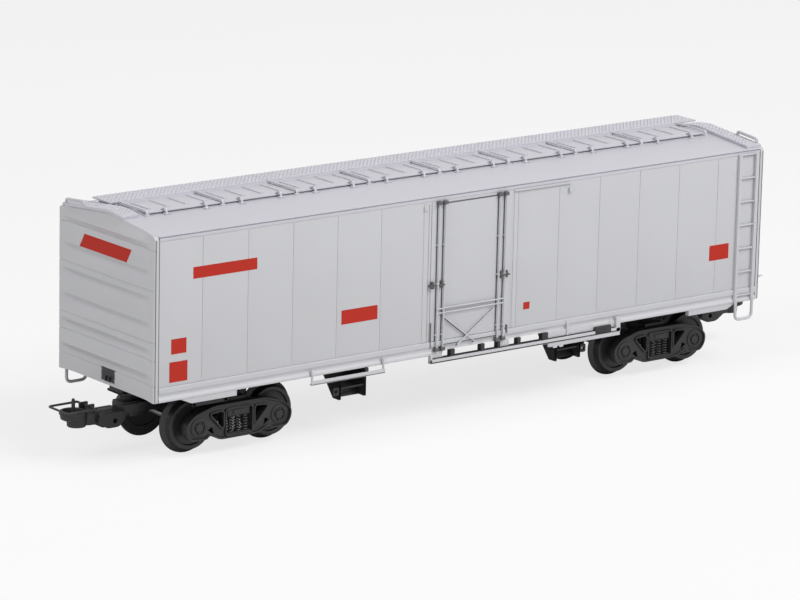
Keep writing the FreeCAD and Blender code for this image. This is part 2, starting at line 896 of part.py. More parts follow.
def gate_rail(name):
    """The short rail over the left chute, hung on two brackets."""
    face = (f"-({WALL_FACE} + track_thickness)", f"-{WALL_FACE}")
    shapes = [box(f"{name}_rail", ("-rail_left", "-rail_right"), face, ("rail_low", "rail_high"))]
    for way, low in (("outer", "-rail_left"), ("inner", "-rail_right - track_post")):
        shapes.append(box(
            f"{name}_{way}_bracket", (low, f"{low} + track_post"), face,
            ("rail_high", "sill_height + bracket_height"),
        ))
    return [fused(f"{name}_solid", shapes)]


both_ways_round("front_ladder", "rear_ladder", ladder)
both_ways_round("front_step", "rear_step", side_step)
both_ways_round("front_door", "rear_door", door)
both_ways_round("front_door_rods", "rear_door_rods", door_rods)
both_ways_round("front_door_track", "rear_door_track", door_track)
both_ways_round("front_gate_rail", "rear_gate_rail", gate_rail)

piece("handbrake_shaft", [
    fused("handbrake_solid", [
        rod(
            "handbrake_collar", "X", (BODY_END, "-brake_side", "brake_height"),
            "brake_collar", "brake_collar_radius",
        ),
        rod(
            "handbrake_rod", "X", (BODY_END, "-brake_side", "brake_height"),
            "brake_reach", "brake_radius",
        ),
    ]),
])

# ---------------------------------------------------------------- bogies

HALF_BASE = "wheelbase / 2"
FRAME_OUTER = "bogie_width / 2"
FRAME_INNER = f"({FRAME_OUTER} - side_frame_thickness)"


def mirrored(half):
    """An outline's right half, carried on round its left half."""
    return half + [(f"-({across})", up) for across, up in reversed(half)]


def side_frame(name, y_range):
    """A cast-look side frame: a top chord, a bottom chord, two axle boxes, a spring
    window between the columns and a triangular window on each side of it."""
    box_inner = f"({HALF_BASE} - box_half_width)"
    box_outer = f"({HALF_BASE} + box_half_width)"
    column = "(spring_window_half + frame_web)"
    outline = mirrored([
        (f"{HALF_BASE} - chord_shoulder", "frame_top"),
        (f"{HALF_BASE} + box_half_width / 2", "frame_top - chord_slope"),
        ("frame_half_length", "tread_radius + box_half_width / 2"),
        ("frame_half_length", "tread_radius - box_half_width / 2"),
        (box_outer, "box_bottom"),
        (box_inner, "box_bottom"),
        (f"{box_inner} - frame_web", "box_bottom + frame_web"),
        ("frame_bottom_half", "frame_bottom"),
    ])
    spring_window = [
        ("-spring_window_half", "spring_window_low"),
        ("spring_window_half", "spring_window_low"),
        ("spring_window_half", "spring_window_high"),
        ("-spring_window_half", "spring_window_high"),
    ]
    windows = [spring_window]
    for sign in ("", "-"):
        windows.append([
            (f"{sign}{column}", "spring_window_high"),
            (f"{sign}({box_inner} - frame_web)", "spring_window_high - frame_web / 2"),
            (f"{sign}{column}", "tread_radius - side_window_drop"),
        ])
    return pad_y(name, y_range, outline, *windows, x_at=f"-{BOGIE_X}")


def bogie_frame(name):
    """Two side frames on a cross bolster, bored for the pivot and the axle ends."""
    near = side_frame(f"{name}_near_side", (f"-{FRAME_OUTER}", f"-{FRAME_INNER}"))
    far = side_frame(f"{name}_far_side", (FRAME_INNER, FRAME_OUTER))
    bolster = box(
        f"{name}_bolster",
        (f"-{BOGIE_X} - bogie_bolster_half", f"-{BOGIE_X} + bogie_bolster_half"),
        (f"-{FRAME_INNER}", FRAME_INNER),
        ("bogie_bolster_low", "bogie_bolster_high"),
    )
    bores = [rod(
        f"{name}_pivot_bore", "Z", (f"-{BOGIE_X}", "0", "bogie_bolster_low - wall"),
        "bogie_bolster_high - bogie_bolster_low + 2 * wall", "pivot_radius + pivot_clearance",
    )]
    for way, sign in (("outer", "-"), ("inner", "+")):
        bores.append(rod(
            f"{name}_{way}_bearing", "Y",
            (f"-{BOGIE_X} {sign} {HALF_BASE}", "-axle_length / 2 - end_play", "tread_radius"),
            "axle_length + 2 * end_play", "axle_radius + bearing_clearance",
        ))
    return [cut(f"{name}_solid", fused(f"{name}_blank", [near, far, bolster]), bores)]


def coupler(name):
    """The coupler on its arm: a cup with a hook pin, a shank, a draw box with a
    cross hole, the lug that the loop turns in, and the arm back to the bolster."""
    cup = doc.addObject("Part::Cone", f"{name}_cup")
    cup.setExpression("Radius1", formula("cup_foot_radius"))
    cup.setExpression("Radius2", formula("cup_radius"))
    cup.setExpression("Height", formula("cup_top - cup_bottom"))
    place(cup, "-hook_reach", "0", "cup_bottom")
    hollow = rod(
        f"{name}_hollow", "Z", ("-hook_reach", "0", "cup_top - cup_depth"),
        "cup_depth + cup_wall", "cup_radius - cup_wall",
    )
    hollow_cup = cut(f"{name}_hollow_cup", cup, [hollow])
    hook = rod(
        f"{name}_hook", "Z", ("-hook_reach", "0", "cup_top - cup_depth"),
        "hook_top - cup_top + cup_depth", "hook_radius",
    )
    shank = box(
        f"{name}_shank",
        ("-(hook_reach - cup_radius + cup_wall)", "-draw_box_outer"),
        ("-shank_width / 2", "shank_width / 2"),
        ("draw_box_low + wall", "draw_box_high + wall / 2"),
    )
    draw_box = box(
        f"{name}_draw_box",
        ("-draw_box_outer", "-draw_box_inner"),
        ("-draw_box_width / 2", "draw_box_width / 2"),
        ("draw_box_low", "draw_box_high"),
    )
    arm = box(
        f"{name}_arm",
        ("-draw_box_inner", f"-{BOGIE_X} - bogie_bolster_half"),
        ("-arm_width / 2", "arm_width / 2"),
        ("arm_low", "arm_high"),
    )
    lug = box(
        f"{name}_lug",
        ("-(loop_pivot_reach + lug_half)", "-(loop_pivot_reach - lug_half)"),
        ("-shank_width / 2", "shank_width / 2"),
        ("draw_box_high", "loop_height + loop_wire / 2 + lug_wall"),
    )
    cross_hole = rod(
        f"{name}_cross_hole", "Y", ("-draw_hole_reach", "-draw_box_width", "draw_hole_height"),
        "2 * draw_box_width", "draw_hole_radius",
    )
    lug_bore = rod(
        f"{name}_lug_bore", "Y", ("-loop_pivot_reach", "-draw_box_width", "loop_height"),
        "2 * draw_box_width", "loop_wire / 2 + loop_clearance",
    )
    blank = fused(f"{name}_blank", [hollow_cup, hook, shank, draw_box, arm, lug])
    return [cut(f"{name}_solid", blank, [cross_hole, lug_bore])]


def coupler_loop(name):
    """A closed wire loop that turns in the coupler's lug."""
    side = "(loop_width / 2 - loop_wire / 2)"
    pivot = rod(
        f"{name}_pivot", "Y", ("-loop_pivot_reach", f"-{side}", "loop_height"),
        f"2 * {side}", "loop_wire / 2",
    )
    front = rod(
        f"{name}_front", "Y",
        ("-(coupler_reach - loop_wire / 2)", "-loop_width / 2", "loop_height"),
        "loop_width", "loop_wire / 2",
    )
    arms = [
        box(
            f"{name}_{way}_arm",
            ("-(coupler_reach - loop_wire / 2)", "-loop_pivot_reach + loop_wire / 2"),
            (f"{middle} - loop_wire / 2", f"{middle} + loop_wire / 2"),
            ("loop_height - loop_wire / 2", "loop_height + loop_wire / 2"),
        )
        for way, middle in (("near", f"-{side}"), ("far", side))
    ]
    return [fused(f"{name}_solid", [pivot, front, *arms])]


def wheels(end_sign):
    """The two wheels of an axle, flanges inward."""
    def make(name):
        inner = "back_to_back / 2"
        outer = f"({inner} + wheel_width)"
        rim = "(tread_radius - rim_depth)"
        outline = [
            (inner, "axle_radius"),
            (inner, "tread_radius + flange_back"),
            (f"{inner} + flange_width / 3", "tread_radius + flange_depth"),
            (f"{inner} + 2 * flange_width / 3", "tread_radius + flange_front"),
            (f"{inner} + flange_width + flange_fillet", "tread_radius"),
            (outer, "tread_radius"),
            (outer, rim),
            (f"{outer} - web_depth", rim),
            (f"{outer} - web_depth", "hub_radius"),
            (outer, "hub_radius"),
            (outer, "axle_radius"),
        ]
        pair = []
        for way, turn in (("far", 0), ("near", 180)):
            wheel = spun_about_y(f"{name}_{way}", outline)
            wheel.Placement.Rotation = FreeCAD.Rotation(Vector(0, 0, 1), turn)
            place(wheel, f"-{BOGIE_X} {end_sign} {HALF_BASE}", "0", "tread_radius")
            pair.append(wheel)
        return pair
    return make


def axle(end_sign):
    """A plain axle from bearing to bearing."""
    def make(name):
        return [rod(
            f"{name}_bar", "Y",
            (f"-{BOGIE_X} {end_sign} {HALF_BASE}", "-axle_length / 2", "tread_radius"),
            "axle_length", "axle_radius",
        )]
    return make


both_ways_round("left_bogie_frame", "right_bogie_frame", bogie_frame)
both_ways_round("left_coupler", "right_coupler", coupler)
both_ways_round("left_coupler_loop", "right_coupler_loop", coupler_loop)
for way, end_sign in (("outer", "-"), ("inner", "+")):
    both_ways_round(f"left_{way}_axle", f"right_{way}_axle", axle(end_sign))
    both_ways_round(f"left_{way}_wheels", f"right_{way}_wheels", wheels(end_sign))

# ---------------------------------------------------------------- check and write

doc.recompute()
for item in doc.Objects:
    if "Invalid" in item.State or "Error" in item.State:
        raise RuntimeError(f"{item.Label} did not rebuild: {item.State}")
for item in pieces:
    if item.Shape.isNull() or not item.Shape.isValid():
        raise RuntimeError(f"{item.Label} has no valid shape")

os.makedirs("parts", exist_ok=True)
for item in pieces:
    item.Shape.exportStep(f"parts/{item.Label}.step")
    box_of = item.Shape.BoundBox
    print(
        f"{item.Label}: {len(item.Shape.Solids)} solid(s), {item.Shape.Volume:.1f} mm3, "
        f"x {box_of.XMin:.2f}..{box_of.XMax:.2f}, y {box_of.YMin:.2f}..{box_of.YMax:.2f}, "
        f"z {box_of.ZMin:.2f}..{box_of.ZMax:.2f}"
    )
print(f"{len(pieces)} pieces written")
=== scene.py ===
# %% [markdown]
# # A model railway hopper wagon
# The wagon's pieces come from its CAD frame, at their real size and in their real
# place.  Blender adds what the eye expects of an H0 model: panel seams, pressed ribs,
# tread plate, springs, catches, and the finish of each plastic and metal.

# %% The frame
import json
import math

import bmesh
import bpy
from mathutils import Matrix, Vector


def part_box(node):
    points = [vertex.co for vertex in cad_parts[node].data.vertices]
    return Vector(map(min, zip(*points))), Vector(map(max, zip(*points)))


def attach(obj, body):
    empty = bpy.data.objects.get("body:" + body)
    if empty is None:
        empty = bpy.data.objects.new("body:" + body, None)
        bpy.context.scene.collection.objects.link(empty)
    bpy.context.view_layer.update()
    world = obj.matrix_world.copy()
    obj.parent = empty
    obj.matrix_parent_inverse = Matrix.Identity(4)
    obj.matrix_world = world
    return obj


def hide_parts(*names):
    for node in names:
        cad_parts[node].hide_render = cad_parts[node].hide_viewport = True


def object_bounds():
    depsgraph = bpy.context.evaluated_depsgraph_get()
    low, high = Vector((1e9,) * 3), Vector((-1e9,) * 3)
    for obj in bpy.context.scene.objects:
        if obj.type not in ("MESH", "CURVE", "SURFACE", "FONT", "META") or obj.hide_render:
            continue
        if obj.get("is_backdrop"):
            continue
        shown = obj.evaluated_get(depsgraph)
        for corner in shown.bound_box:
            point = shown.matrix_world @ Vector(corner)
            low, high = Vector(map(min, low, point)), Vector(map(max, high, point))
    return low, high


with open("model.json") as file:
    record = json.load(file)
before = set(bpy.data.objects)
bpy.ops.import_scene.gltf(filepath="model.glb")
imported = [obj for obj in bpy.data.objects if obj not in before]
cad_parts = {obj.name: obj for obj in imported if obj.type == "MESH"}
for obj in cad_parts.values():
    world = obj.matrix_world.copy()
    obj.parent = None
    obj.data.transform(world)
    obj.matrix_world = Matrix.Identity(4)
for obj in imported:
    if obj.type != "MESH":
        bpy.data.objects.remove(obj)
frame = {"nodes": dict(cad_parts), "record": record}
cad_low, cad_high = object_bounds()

MM = 0.001
nodes = frame["nodes"]

# %% [markdown]
# ## Shader maths
# A finish needs arithmetic on what a texture node gives, and wiring Math nodes by
# hand hides the idea.  A small class that wraps a socket lets Python's own operators
# add those nodes, so a finish reads like the formula it is.

# %% A value that flows through a shader
class Value:
    """A socket's value; an operator on it adds the Math node that it stands for."""

    def __init__(self, finish, socket):
        self.finish = finish
        self.socket = socket

    def maths(self, operation, *others):
        inputs = dict(enumerate((self, *others)))
        return self.finish.node("ShaderNodeMath", {"operation": operation}, inputs)

    def __add__(self, other):
        return self.maths("ADD", other)

    def __radd__(self, other):
        return self.maths("ADD", other)

    def __sub__(self, other):
        return self.maths("SUBTRACT", other)

    def __rsub__(self, other):
        return self.maths("MULTIPLY", -1.0) + other

    def __mul__(self, other):
        return self.maths("MULTIPLY", other)

    def __rmul__(self, other):
        return self.maths("MULTIPLY", other)


# %% A finish: one material and its nodes
class Finish:
    """A material under construction, with one method that adds any node."""

    def __init__(self, name):
        self.material = bpy.data.materials.new(name)
        self.material.use_nodes = True
        self.tree = self.material.node_tree
        self.tree.nodes.clear()

    def node(self, kind, settings=None, inputs=None, output=0):
        """Add a node, choose its settings, then feed its sockets."""
        added = self.tree.nodes.new(kind)
        for key, setting in (settings or {}).items():
            setattr(added, key, setting)
        for key, given in (inputs or {}).items():
            if isinstance(given, Value):
                self.tree.links.new(given.socket, added.inputs[key])
            else:
                added.inputs[key].default_value = given
        return Value(self, added.outputs[output])

    def place(self):
        """The point on the piece, in metres."""
        return self.node("ShaderNodeTexCoord", output="Object")

    def noise(self, scale, detail=3.0, vector=None):
        """Soft random grain; the scale is in grains for each metre."""
        return self.node(
            "ShaderNodeTexNoise", None,
            {"Vector": vector or self.place(), "Scale": scale, "Detail": detail},
        )

    def relief(self, height, strength, distance):
        """A surface normal that follows a height."""
        return self.node(
            "ShaderNodeBump", None, {"Strength": strength, "Distance": distance, "Height": height},
        )

    def blend(self, amount, low, high):
        """Between two colours."""
        mixed = self.node(
            "ShaderNodeMix", {"data_type": "RGBA"},
            {"Factor": amount, "A": low, "B": high}, output="Result",
        )
        return Value(self, [s for s in mixed.socket.node.outputs if s.type == "RGBA"][0])

    def close(self, shader):
        """Send a shader to the surface and give the material back."""
        out = self.tree.nodes.new("ShaderNodeOutputMaterial")
        self.tree.links.new(shader.socket, out.inputs["Surface"])
        return self.material


# %% [markdown]
# ## The finishes
# The body and roof are moulded plastic sprayed a satin silver grey.  Sprayed plastic
# isn't one flat colour: pigment settles a little unevenly, the surface keeps a fine
# orange-peel bump, and handling leaves it glossier here and there.  The running gear
# is black plastic left as it came from the mould, which is finely grained and duller
# where it has gathered dust.

# %% Sprayed and moulded plastics
def plastic(name, colour, cloud, rough, grain, bump, gloss=0.5):
    """A plastic with cloudy pigment, uneven gloss and a fine grained surface."""
    finish = Finish(name)
    clouds = finish.noise(60.0, 4.0)
    specks = finish.noise(grain, 2.0)
    darker = (*[channel * (1 - cloud) for channel in colour], 1)
    lighter = (*[min(1, channel * (1 + cloud)) for channel in colour], 1)
    tone = clouds * 0.7 + specks * 0.3
    relief = finish.relief(specks, bump, 0.04 * MM)
    shader = finish.node("ShaderNodeBsdfPrincipled", None, {
        "Base Color": finish.blend(tone, darker, lighter),
        "Roughness": rough + (clouds - 0.5) * 0.18,
        "Specular IOR Level": gloss,
        "Normal": relief,
    })
    return finish.close(shader)


SILVER = (0.560, 0.562, 0.585)
ROOF_SILVER = (0.580, 0.572, 0.625)
BLACK = (0.017, 0.017, 0.019)
LABEL_RED = (0.470, 0.022, 0.010)
# The next two greys are painted shade, not the parts' own colours: the mid grey darkens the ladder rungs
# and the band under the covers' lips, and the near-black one lies in gaps, beside the door rods and under
# the roof catches.
PAINTED_SHADE_MID_GREY = (0.30, 0.30, 0.315)
PAINTED_SHADE_DARK_GREY = (0.11, 0.11, 0.118)
silver_plastic = plastic("silver_plastic", SILVER, 0.05, 0.46, 9000, 0.25)
roof_plastic = plastic("roof_plastic", ROOF_SILVER, 0.05, 0.44, 9000, 0.25)
black_plastic = plastic("black_plastic", BLACK, 0.30, 0.50, 6000, 0.45)
# Plastics in the two painted-shade greys.
painted_shade_mid_plastic = plastic("painted_shade_mid_grey_plastic", PAINTED_SHADE_MID_GREY, 0.06, 0.42, 9000, 0.25)
painted_shade_dark_plastic = plastic("painted_shade_dark_grey_plastic", PAINTED_SHADE_DARK_GREY, 0.06, 0.5, 9000, 0.25)
label_red = plastic("label_red", LABEL_RED, 0.05, 0.55, 9000, 0.15, 0.25)


# %% Wheel and axle metal
def metal(name, colour, rough, metallic):
    """Turned metal: fine rings of tool marks and a slightly patchy blackening."""
    finish = Finish(name)
    patches = finish.noise(400.0, 4.0)
    marks = finish.noise(14000.0, 2.0)
    relief = finish.relief(marks, 0.3, 0.03 * MM)
    darker = (*[channel * 0.8 for channel in colour], 1)
    lighter = (*[channel * 1.25 for channel in colour], 1)
    shader = finish.node("ShaderNodeBsdfPrincipled", None, {
        "Base Color": finish.blend(patches, darker, lighter),
        "Roughness": rough + (patches - 0.5) * 0.2,
        "Metallic": metallic,
        "Normal": relief,
    })
    return finish.close(shader)


wheel_metal = metal("blackened_wheel_metal", (0.045, 0.044, 0.046), 0.42, 0.5)
axle_steel = metal("axle_steel", (0.42, 0.42, 0.43), 0.32, 1.0)

slot_finishes = {
    "silver_plastic": silver_plastic,
    "roof_plastic": roof_plastic,
    "black_plastic": black_plastic,
    "dark_metal": wheel_metal,
    "steel": axle_steel,
}
slot_of = {part["node"]: part["material_slot"] for part in frame["record"]["subparts"]}
for name, node in nodes.items():
    node.data.materials.clear()
    node.data.materials.append(slot_finishes[slot_of[name]])
print("finished", len(nodes), "frame pieces")

# %% [markdown]
# ## Stage, lights and camera
# A model this small is pictured with a long lens from about a metre away, on white
# card.  A large soft lamp above and to the right makes the roof brightest and the side
# bright; a weaker one beyond the left end grazes its ribs from above.

# %% Floor
FLOOR_SIZE = 4000 * MM
CARD_GLOW = 0.75
bpy.ops.mesh.primitive_plane_add(size=FLOOR_SIZE, location=(0, 0, cad_low[2]))
floor = bpy.context.active_object
floor.name = "floor_card"
card = Finish("pale_card")
card_tone = card.blend(card.noise(40.0), (0.86, 0.86, 0.86, 1), (0.90, 0.90, 0.90, 1))
paper = card.node("ShaderNodeBsdfPrincipled", None, {"Base Color": card_tone, "Roughness": 0.9})
glow = card.node("ShaderNodeEmission", None, {"Color": (1, 1, 1, 1), "Strength": 1.0})
looked_at = card.node("ShaderNodeLightPath", output="Is Camera Ray")
floor.data.materials.append(card.close(card.node(
    "ShaderNodeMixShader", None, {0: looked_at * CARD_GLOW, 1: paper, 2: glow},
)))
floor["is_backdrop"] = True

# %% Room light and two soft lamps
WORLD_LIGHT = 0.26
world = bpy.data.worlds.new("white_room")
bpy.context.scene.world = world
world.use_nodes = True
world_nodes = world.node_tree.nodes
backdrop = world_nodes["Background"]
backdrop.inputs["Color"].default_value = (1, 1, 1, 1)
light_path = world_nodes.new("ShaderNodeLightPath")
seen = world_nodes.new("ShaderNodeMath")
seen.operation = "MAXIMUM"
seen_all = world_nodes.new("ShaderNodeMath")
seen_all.operation = "MAXIMUM"
strength = world_nodes.new("ShaderNodeMath")
strength.operation = "MULTIPLY_ADD"
strength.inputs[1].default_value = 1 - WORLD_LIGHT
strength.inputs[2].default_value = WORLD_LIGHT
link = world.node_tree.links.new
link(light_path.outputs["Is Camera Ray"], seen.inputs[0])
link(light_path.outputs["Is Glossy Ray"], seen.inputs[1])
link(seen.outputs[0], seen_all.inputs[0])
link(light_path.outputs["Is Transmission Ray"], seen_all.inputs[1])
link(seen_all.outputs[0], strength.inputs[0])
link(strength.outputs[0], backdrop.inputs["Strength"])


def soft_lamp(name, at, size, power):
    """A square lamp that faces the middle of the wagon."""
    data = bpy.data.lights.new(name, "AREA")
    data.shape = "SQUARE"
    data.size = size * MM
    data.energy = power
    lamp = bpy.data.objects.new(name, data)
    bpy.context.scene.collection.objects.link(lamp)
    lamp.location = Vector(at) * MM
    lamp.rotation_euler = (-Vector(at)).to_track_quat("-Z", "Y").to_euler()


LAMPS = (("key_lamp", (300, -620, 760), 520, 7.0), ("end_lamp", (-760, -60, 640), 420, 2.7))
for lamp in LAMPS:
    soft_lamp(*lamp)

# %% Camera
CAMERA_AT = Vector((-566.3, -720.5, 249.7)) * MM
CAMERA_AIM = Vector((-5.9, 0.0, 22.2)) * MM
CAMERA_ROLL = math.radians(1.31)
CAMERA_LENS = 199.6
FILM_WIDTH = 36
camera_data = bpy.data.cameras.new("camera")
camera_data.lens = CAMERA_LENS
camera_data.sensor_width = FILM_WIDTH
camera_data.clip_start = 0.01
camera = bpy.data.objects.new("camera", camera_data)
bpy.context.scene.collection.objects.link(camera)
turn = (CAMERA_AIM - CAMERA_AT).to_track_quat("-Z", "Y").to_matrix()
camera.matrix_world = (
    Matrix.Translation(CAMERA_AT) @ (turn @ Matrix.Rotation(CAMERA_ROLL, 3, "Z")).to_4x4()
)
bpy.context.scene.camera = camera
bpy.context.scene.view_settings.view_transform = "Standard"

# %% [markdown]
# ## Ways of making the pieces
# Injection-moulded parts have small radii on every edge, because a steel mould can't
# hold a perfect corner, and those radii catch the light.  So each helper rounds the
# edges of what it adds.  Sizes are worked out in millimetres and turned into metres
# at the end.

# %% Where the frame's pieces are
def span(node):
    """The lowest and highest corners of a frame piece, in millimetres."""
    low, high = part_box(node)
    return Vector(low) / MM, Vector(high) / MM


def opposite(name):
    """The name of the same thing half way round the wagon."""
    swaps = {"front": "rear", "rear": "front", "left": "right", "right": "left"}
    return "_".join(swaps.get(word, word) for word in name.split("_"))


# %% Solids with softened edges
SHARP = math.radians(35)


def soften(bm, verts, width):
    """Round off the sharp edges of the solid just added."""
    edges = dict.fromkeys(edge for vert in verts for edge in vert.link_edges)
    sharp = [edge for edge in edges if edge.calc_face_angle(0) > SHARP]
    if width:
        bmesh.ops.bevel(
            bm, geom=sharp, offset=width, segments=2, affect="EDGES",
            profile=0.6, clamp_overlap=True,
        )


def slab(bm, corner, far_corner, edge=0.06):
    """A box between two opposite corners, given in either order."""
    low = Vector([min(ends) for ends in zip(corner, far_corner)])
    high = Vector([max(ends) for ends in zip(corner, far_corner)])
    verts = bmesh.ops.create_cube(bm, size=1.0)["verts"]
    for vert in verts:
        share = vert.co + Vector((0.5, 0.5, 0.5))
        vert.co = Vector([a + (b - a) * part for a, b, part in zip(low, high, share)])
    soften(bm, verts, edge)


ALONG = {
    "X": lambda across, up, far: (far, across, up),
    "Y": lambda across, up, far: (across, far, up),
    "Z": lambda across, up, far: (across, up, far),
}


def prism(bm, axis, outline, start, end, edge=0.06):
    """An outline of two coordinates, run along the third axis."""
    put = ALONG[axis]
    near = [bm.verts.new(put(across, up, start)) for across, up in outline]
    far = [bm.verts.new(put(across, up, end)) for across, up in outline]
    faces = [bm.faces.new(near), bm.faces.new(list(reversed(far)))]
    for at in range(len(outline)):
        after = (at + 1) % len(outline)
        faces.append(bm.faces.new((near[at], far[at], far[after], near[after])))
    bmesh.ops.recalc_face_normals(bm, faces=faces)
    soften(bm, near + far, edge)


def lathe(bm, axis, centre, profile, segments=40):
    """A closed shape spun round an axis; the profile is (along, radius) pairs."""
    put = ALONG[axis]
    rings = []
    for along, radius in profile:
        ring = []
        for at in range(segments):
            angle = 2 * math.pi * at / segments
            point = put(radius * math.cos(angle), radius * math.sin(angle), along)
            ring.append(bm.verts.new(Vector(centre) + Vector(point)))
        rings.append(ring)
    faces = [bm.faces.new(rings[0]), bm.faces.new(list(reversed(rings[-1])))]
    for ring, following in zip(rings, rings[1:]):
        for at in range(segments):
            after = (at + 1) % segments
            faces.append(bm.faces.new((ring[at], following[at], following[after], ring[after])))
    bmesh.ops.recalc_face_normals(bm, faces=faces)


STRAIGHT = 1e-6


def circle(across, up, radius, steps=16):
    """A round outline."""
    turns = [2 * math.pi * step / steps for step in range(steps)]
    return [(across + radius * math.cos(turn), up + radius * math.sin(turn)) for turn in turns]


def pipe(bm, path, radius, sides=10, closed=False):
    """A round bar along a path, mitred where the path turns."""
    path = [Vector(point) for point in path]
    count = len(path)
    rings = []
    upright = None
    for at, point in enumerate(path):
        before = path[at - 1] if at or closed else point
        after = path[(at + 1) % count] if at < count - 1 or closed else point
        leaving = (after - point if after != point else point - before).normalized()
        arriving = (point - before).normalized() if point != before else leaving
        along = (arriving + leaving).normalized()
        if upright is None:
            upright = along.orthogonal()
        upright = (upright - along * upright.dot(along)).normalized()
        aside = along.cross(upright)
        spread = 1 / max(0.4, along.dot(leaving))
        bend = leaving - arriving
        turns_here = bend.length > STRAIGHT
        bend.normalize()
        ring = []
        for side in range(sides):
            angle = 2 * math.pi * side / sides
            reach = (upright * math.cos(angle) + aside * math.sin(angle)) * radius
            if turns_here:
                reach += bend * reach.dot(bend) * (spread - 1)
            ring.append(bm.verts.new(point + reach))
        rings.append(ring)
    faces = []
    pairs = list(zip(rings, rings[1:])) + ([(rings[-1], rings[0])] if closed else [])
    for ring, following in pairs:
        for side in range(sides):
            after = (side + 1) % sides
            corners = (ring[side], following[side], following[after], ring[after])
            faces.append(bm.faces.new(corners))
    if not closed:
        faces += [bm.faces.new(rings[0]), bm.faces.new(list(reversed(rings[-1])))]
    bmesh.ops.recalc_face_normals(bm, faces=faces)


def rounded(points, radius, steps=4):
    """A path whose inner corners are turned into arcs of straight steps."""
    points = [Vector(point) for point in points]
    path = [points[0]]
    for before, corner, after in zip(points, points[1:], points[2:]):
        start = corner + (before - corner).normalized() * radius
        end = corner + (after - corner).normalized() * radius
        for step in range(steps + 1):
            share = step / steps
            path.append(start.lerp(corner, share).lerp(corner.lerp(end, share), share))
    return path + [points[-1]]


# %% Turning a solid into a piece of the wagon
def to_object(name, bm, finish):
    """Make the object, in metres, with smooth faces between its sharp edges."""
    mesh = bpy.data.meshes.new(name)
    bm.transform(Matrix.Diagonal((MM, MM, MM, 1)))
    bm.to_mesh(mesh)
    bm.free()
    mesh.materials.append(finish)
    for face in mesh.polygons:
        face.use_smooth = True
    mesh.set_sharp_from_angle(angle=SHARP)
    item = bpy.data.objects.new(name, mesh)
    bpy.context.scene.collection.objects.link(item)
    return item


def fit(item, body, slot, *stands_for):
    """Fix a piece to its body and hide what it stands for; the slot is not used."""
    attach(item, body)
    if stands_for:
        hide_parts(*stands_for)
    print(item.name, len(item.data.polygons), "faces")


HALF_TURN = Matrix.Rotation(math.pi, 4, "Z")


def both_ways(name, item, body, slot, *stands_for):
    """Fit a piece and its twin, which is the same piece turned half way round."""
    twin = bpy.data.objects.new(opposite(name), item.data.copy())
    twin.data.transform(HALF_TURN)
    bpy.context.scene.collection.objects.link(twin)
    fit(item, body, slot, *stands_for)
    fit(twin, opposite(body), slot, *[opposite(node) for node in stands_for])


def make_both(name, bm, finish, *stands_for, body="car_body", slot=None):
    """Make a piece and its twin, standing for the given frame pieces."""
    item = to_object(name, bm, finish)
    both_ways(name, item, body, slot or slot_of[stands_for[0]], *stands_for)


# %% [markdown]
# ## A row of like pieces
# Catches, rungs, cover ribs and tread studs repeat at an even pitch.  Geometry Nodes
# say that directly: a line of points, one unit set on each.  The result is realised
# into a plain mesh.

# %% Geometry Nodes that set a unit along a line
def row_nodes():
    tree = bpy.data.node_groups.new("row_of_units", "GeometryNodeTree")
    wanted = (
        ("Unit", "NodeSocketObject"), ("Count", "NodeSocketInt"), ("Start", "NodeSocketVector"),
        ("Step", "NodeSocketVector"), ("Finish", "NodeSocketMaterial"),
    )
    for label, kind in wanted:
        tree.interface.new_socket(label, in_out="INPUT", socket_type=kind)
    tree.interface.new_socket("Row", in_out="OUTPUT", socket_type="NodeSocketGeometry")
    given = tree.nodes.new("NodeGroupInput")
    line = tree.nodes.new("GeometryNodeMeshLine")
    unit = tree.nodes.new("GeometryNodeObjectInfo")
    place = tree.nodes.new("GeometryNodeInstanceOnPoints")
    real = tree.nodes.new("GeometryNodeRealizeInstances")
    paint = tree.nodes.new("GeometryNodeSetMaterial")
    out = tree.nodes.new("NodeGroupOutput")
    for start, end in (
        (given.outputs["Count"], line.inputs["Count"]),
        (given.outputs["Start"], line.inputs["Start Location"]),
        (given.outputs["Step"], line.inputs["Offset"]),
        (given.outputs["Unit"], unit.inputs["Object"]),
        (line.outputs["Mesh"], place.inputs["Points"]),
        (unit.outputs["Geometry"], place.inputs["Instance"]),
        (place.outputs["Instances"], real.inputs["Geometry"]),
        (real.outputs["Geometry"], paint.inputs["Geometry"]),
        (given.outputs["Finish"], paint.inputs["Material"]),
        (paint.outputs["Geometry"], out.inputs["Row"]),
    ):
        tree.links.new(start, end)
    return tree


ROW = row_nodes()
ROW_INPUT = {
    entry.name: entry.identifier
    for entry in ROW.interface.items_tree if entry.in_out == "INPUT"
}


def row(name, unit, count, start, step, finish):
    """Set a unit along a line, and give back the row as one plain object."""
    holder = bpy.data.objects.new(name, bpy.data.meshes.new(f"{name}_points"))
    bpy.context.scene.collection.objects.link(holder)
    nodes_on = holder.modifiers.new("row", "NODES")
    nodes_on.node_group = ROW
    nodes_on[ROW_INPUT["Unit"]] = unit
    nodes_on[ROW_INPUT["Count"]] = count
    nodes_on[ROW_INPUT["Start"]] = Vector(start) * MM
    nodes_on[ROW_INPUT["Step"]] = Vector(step) * MM
    nodes_on[ROW_INPUT["Finish"]] = finish
    bpy.context.view_layer.update()
    graph = bpy.context.evaluated_depsgraph_get()
    made = bpy.data.meshes.new_from_object(holder.evaluated_get(graph))
    holder.modifiers.clear()
    holder.data = made
    bpy.data.objects.remove(unit)
    return holder


def joined(name, items):
    """Several objects of one finish as one."""
    bm = bmesh.new()
    for item in items:
        bm.from_mesh(item.data)
    finish = items[0].data.materials[0]
    for item in items:
        bpy.data.objects.remove(item)
    bm.transform(Matrix.Diagonal((1 / MM, 1 / MM, 1 / MM, 1)))
    return to_object(name, bm, finish)


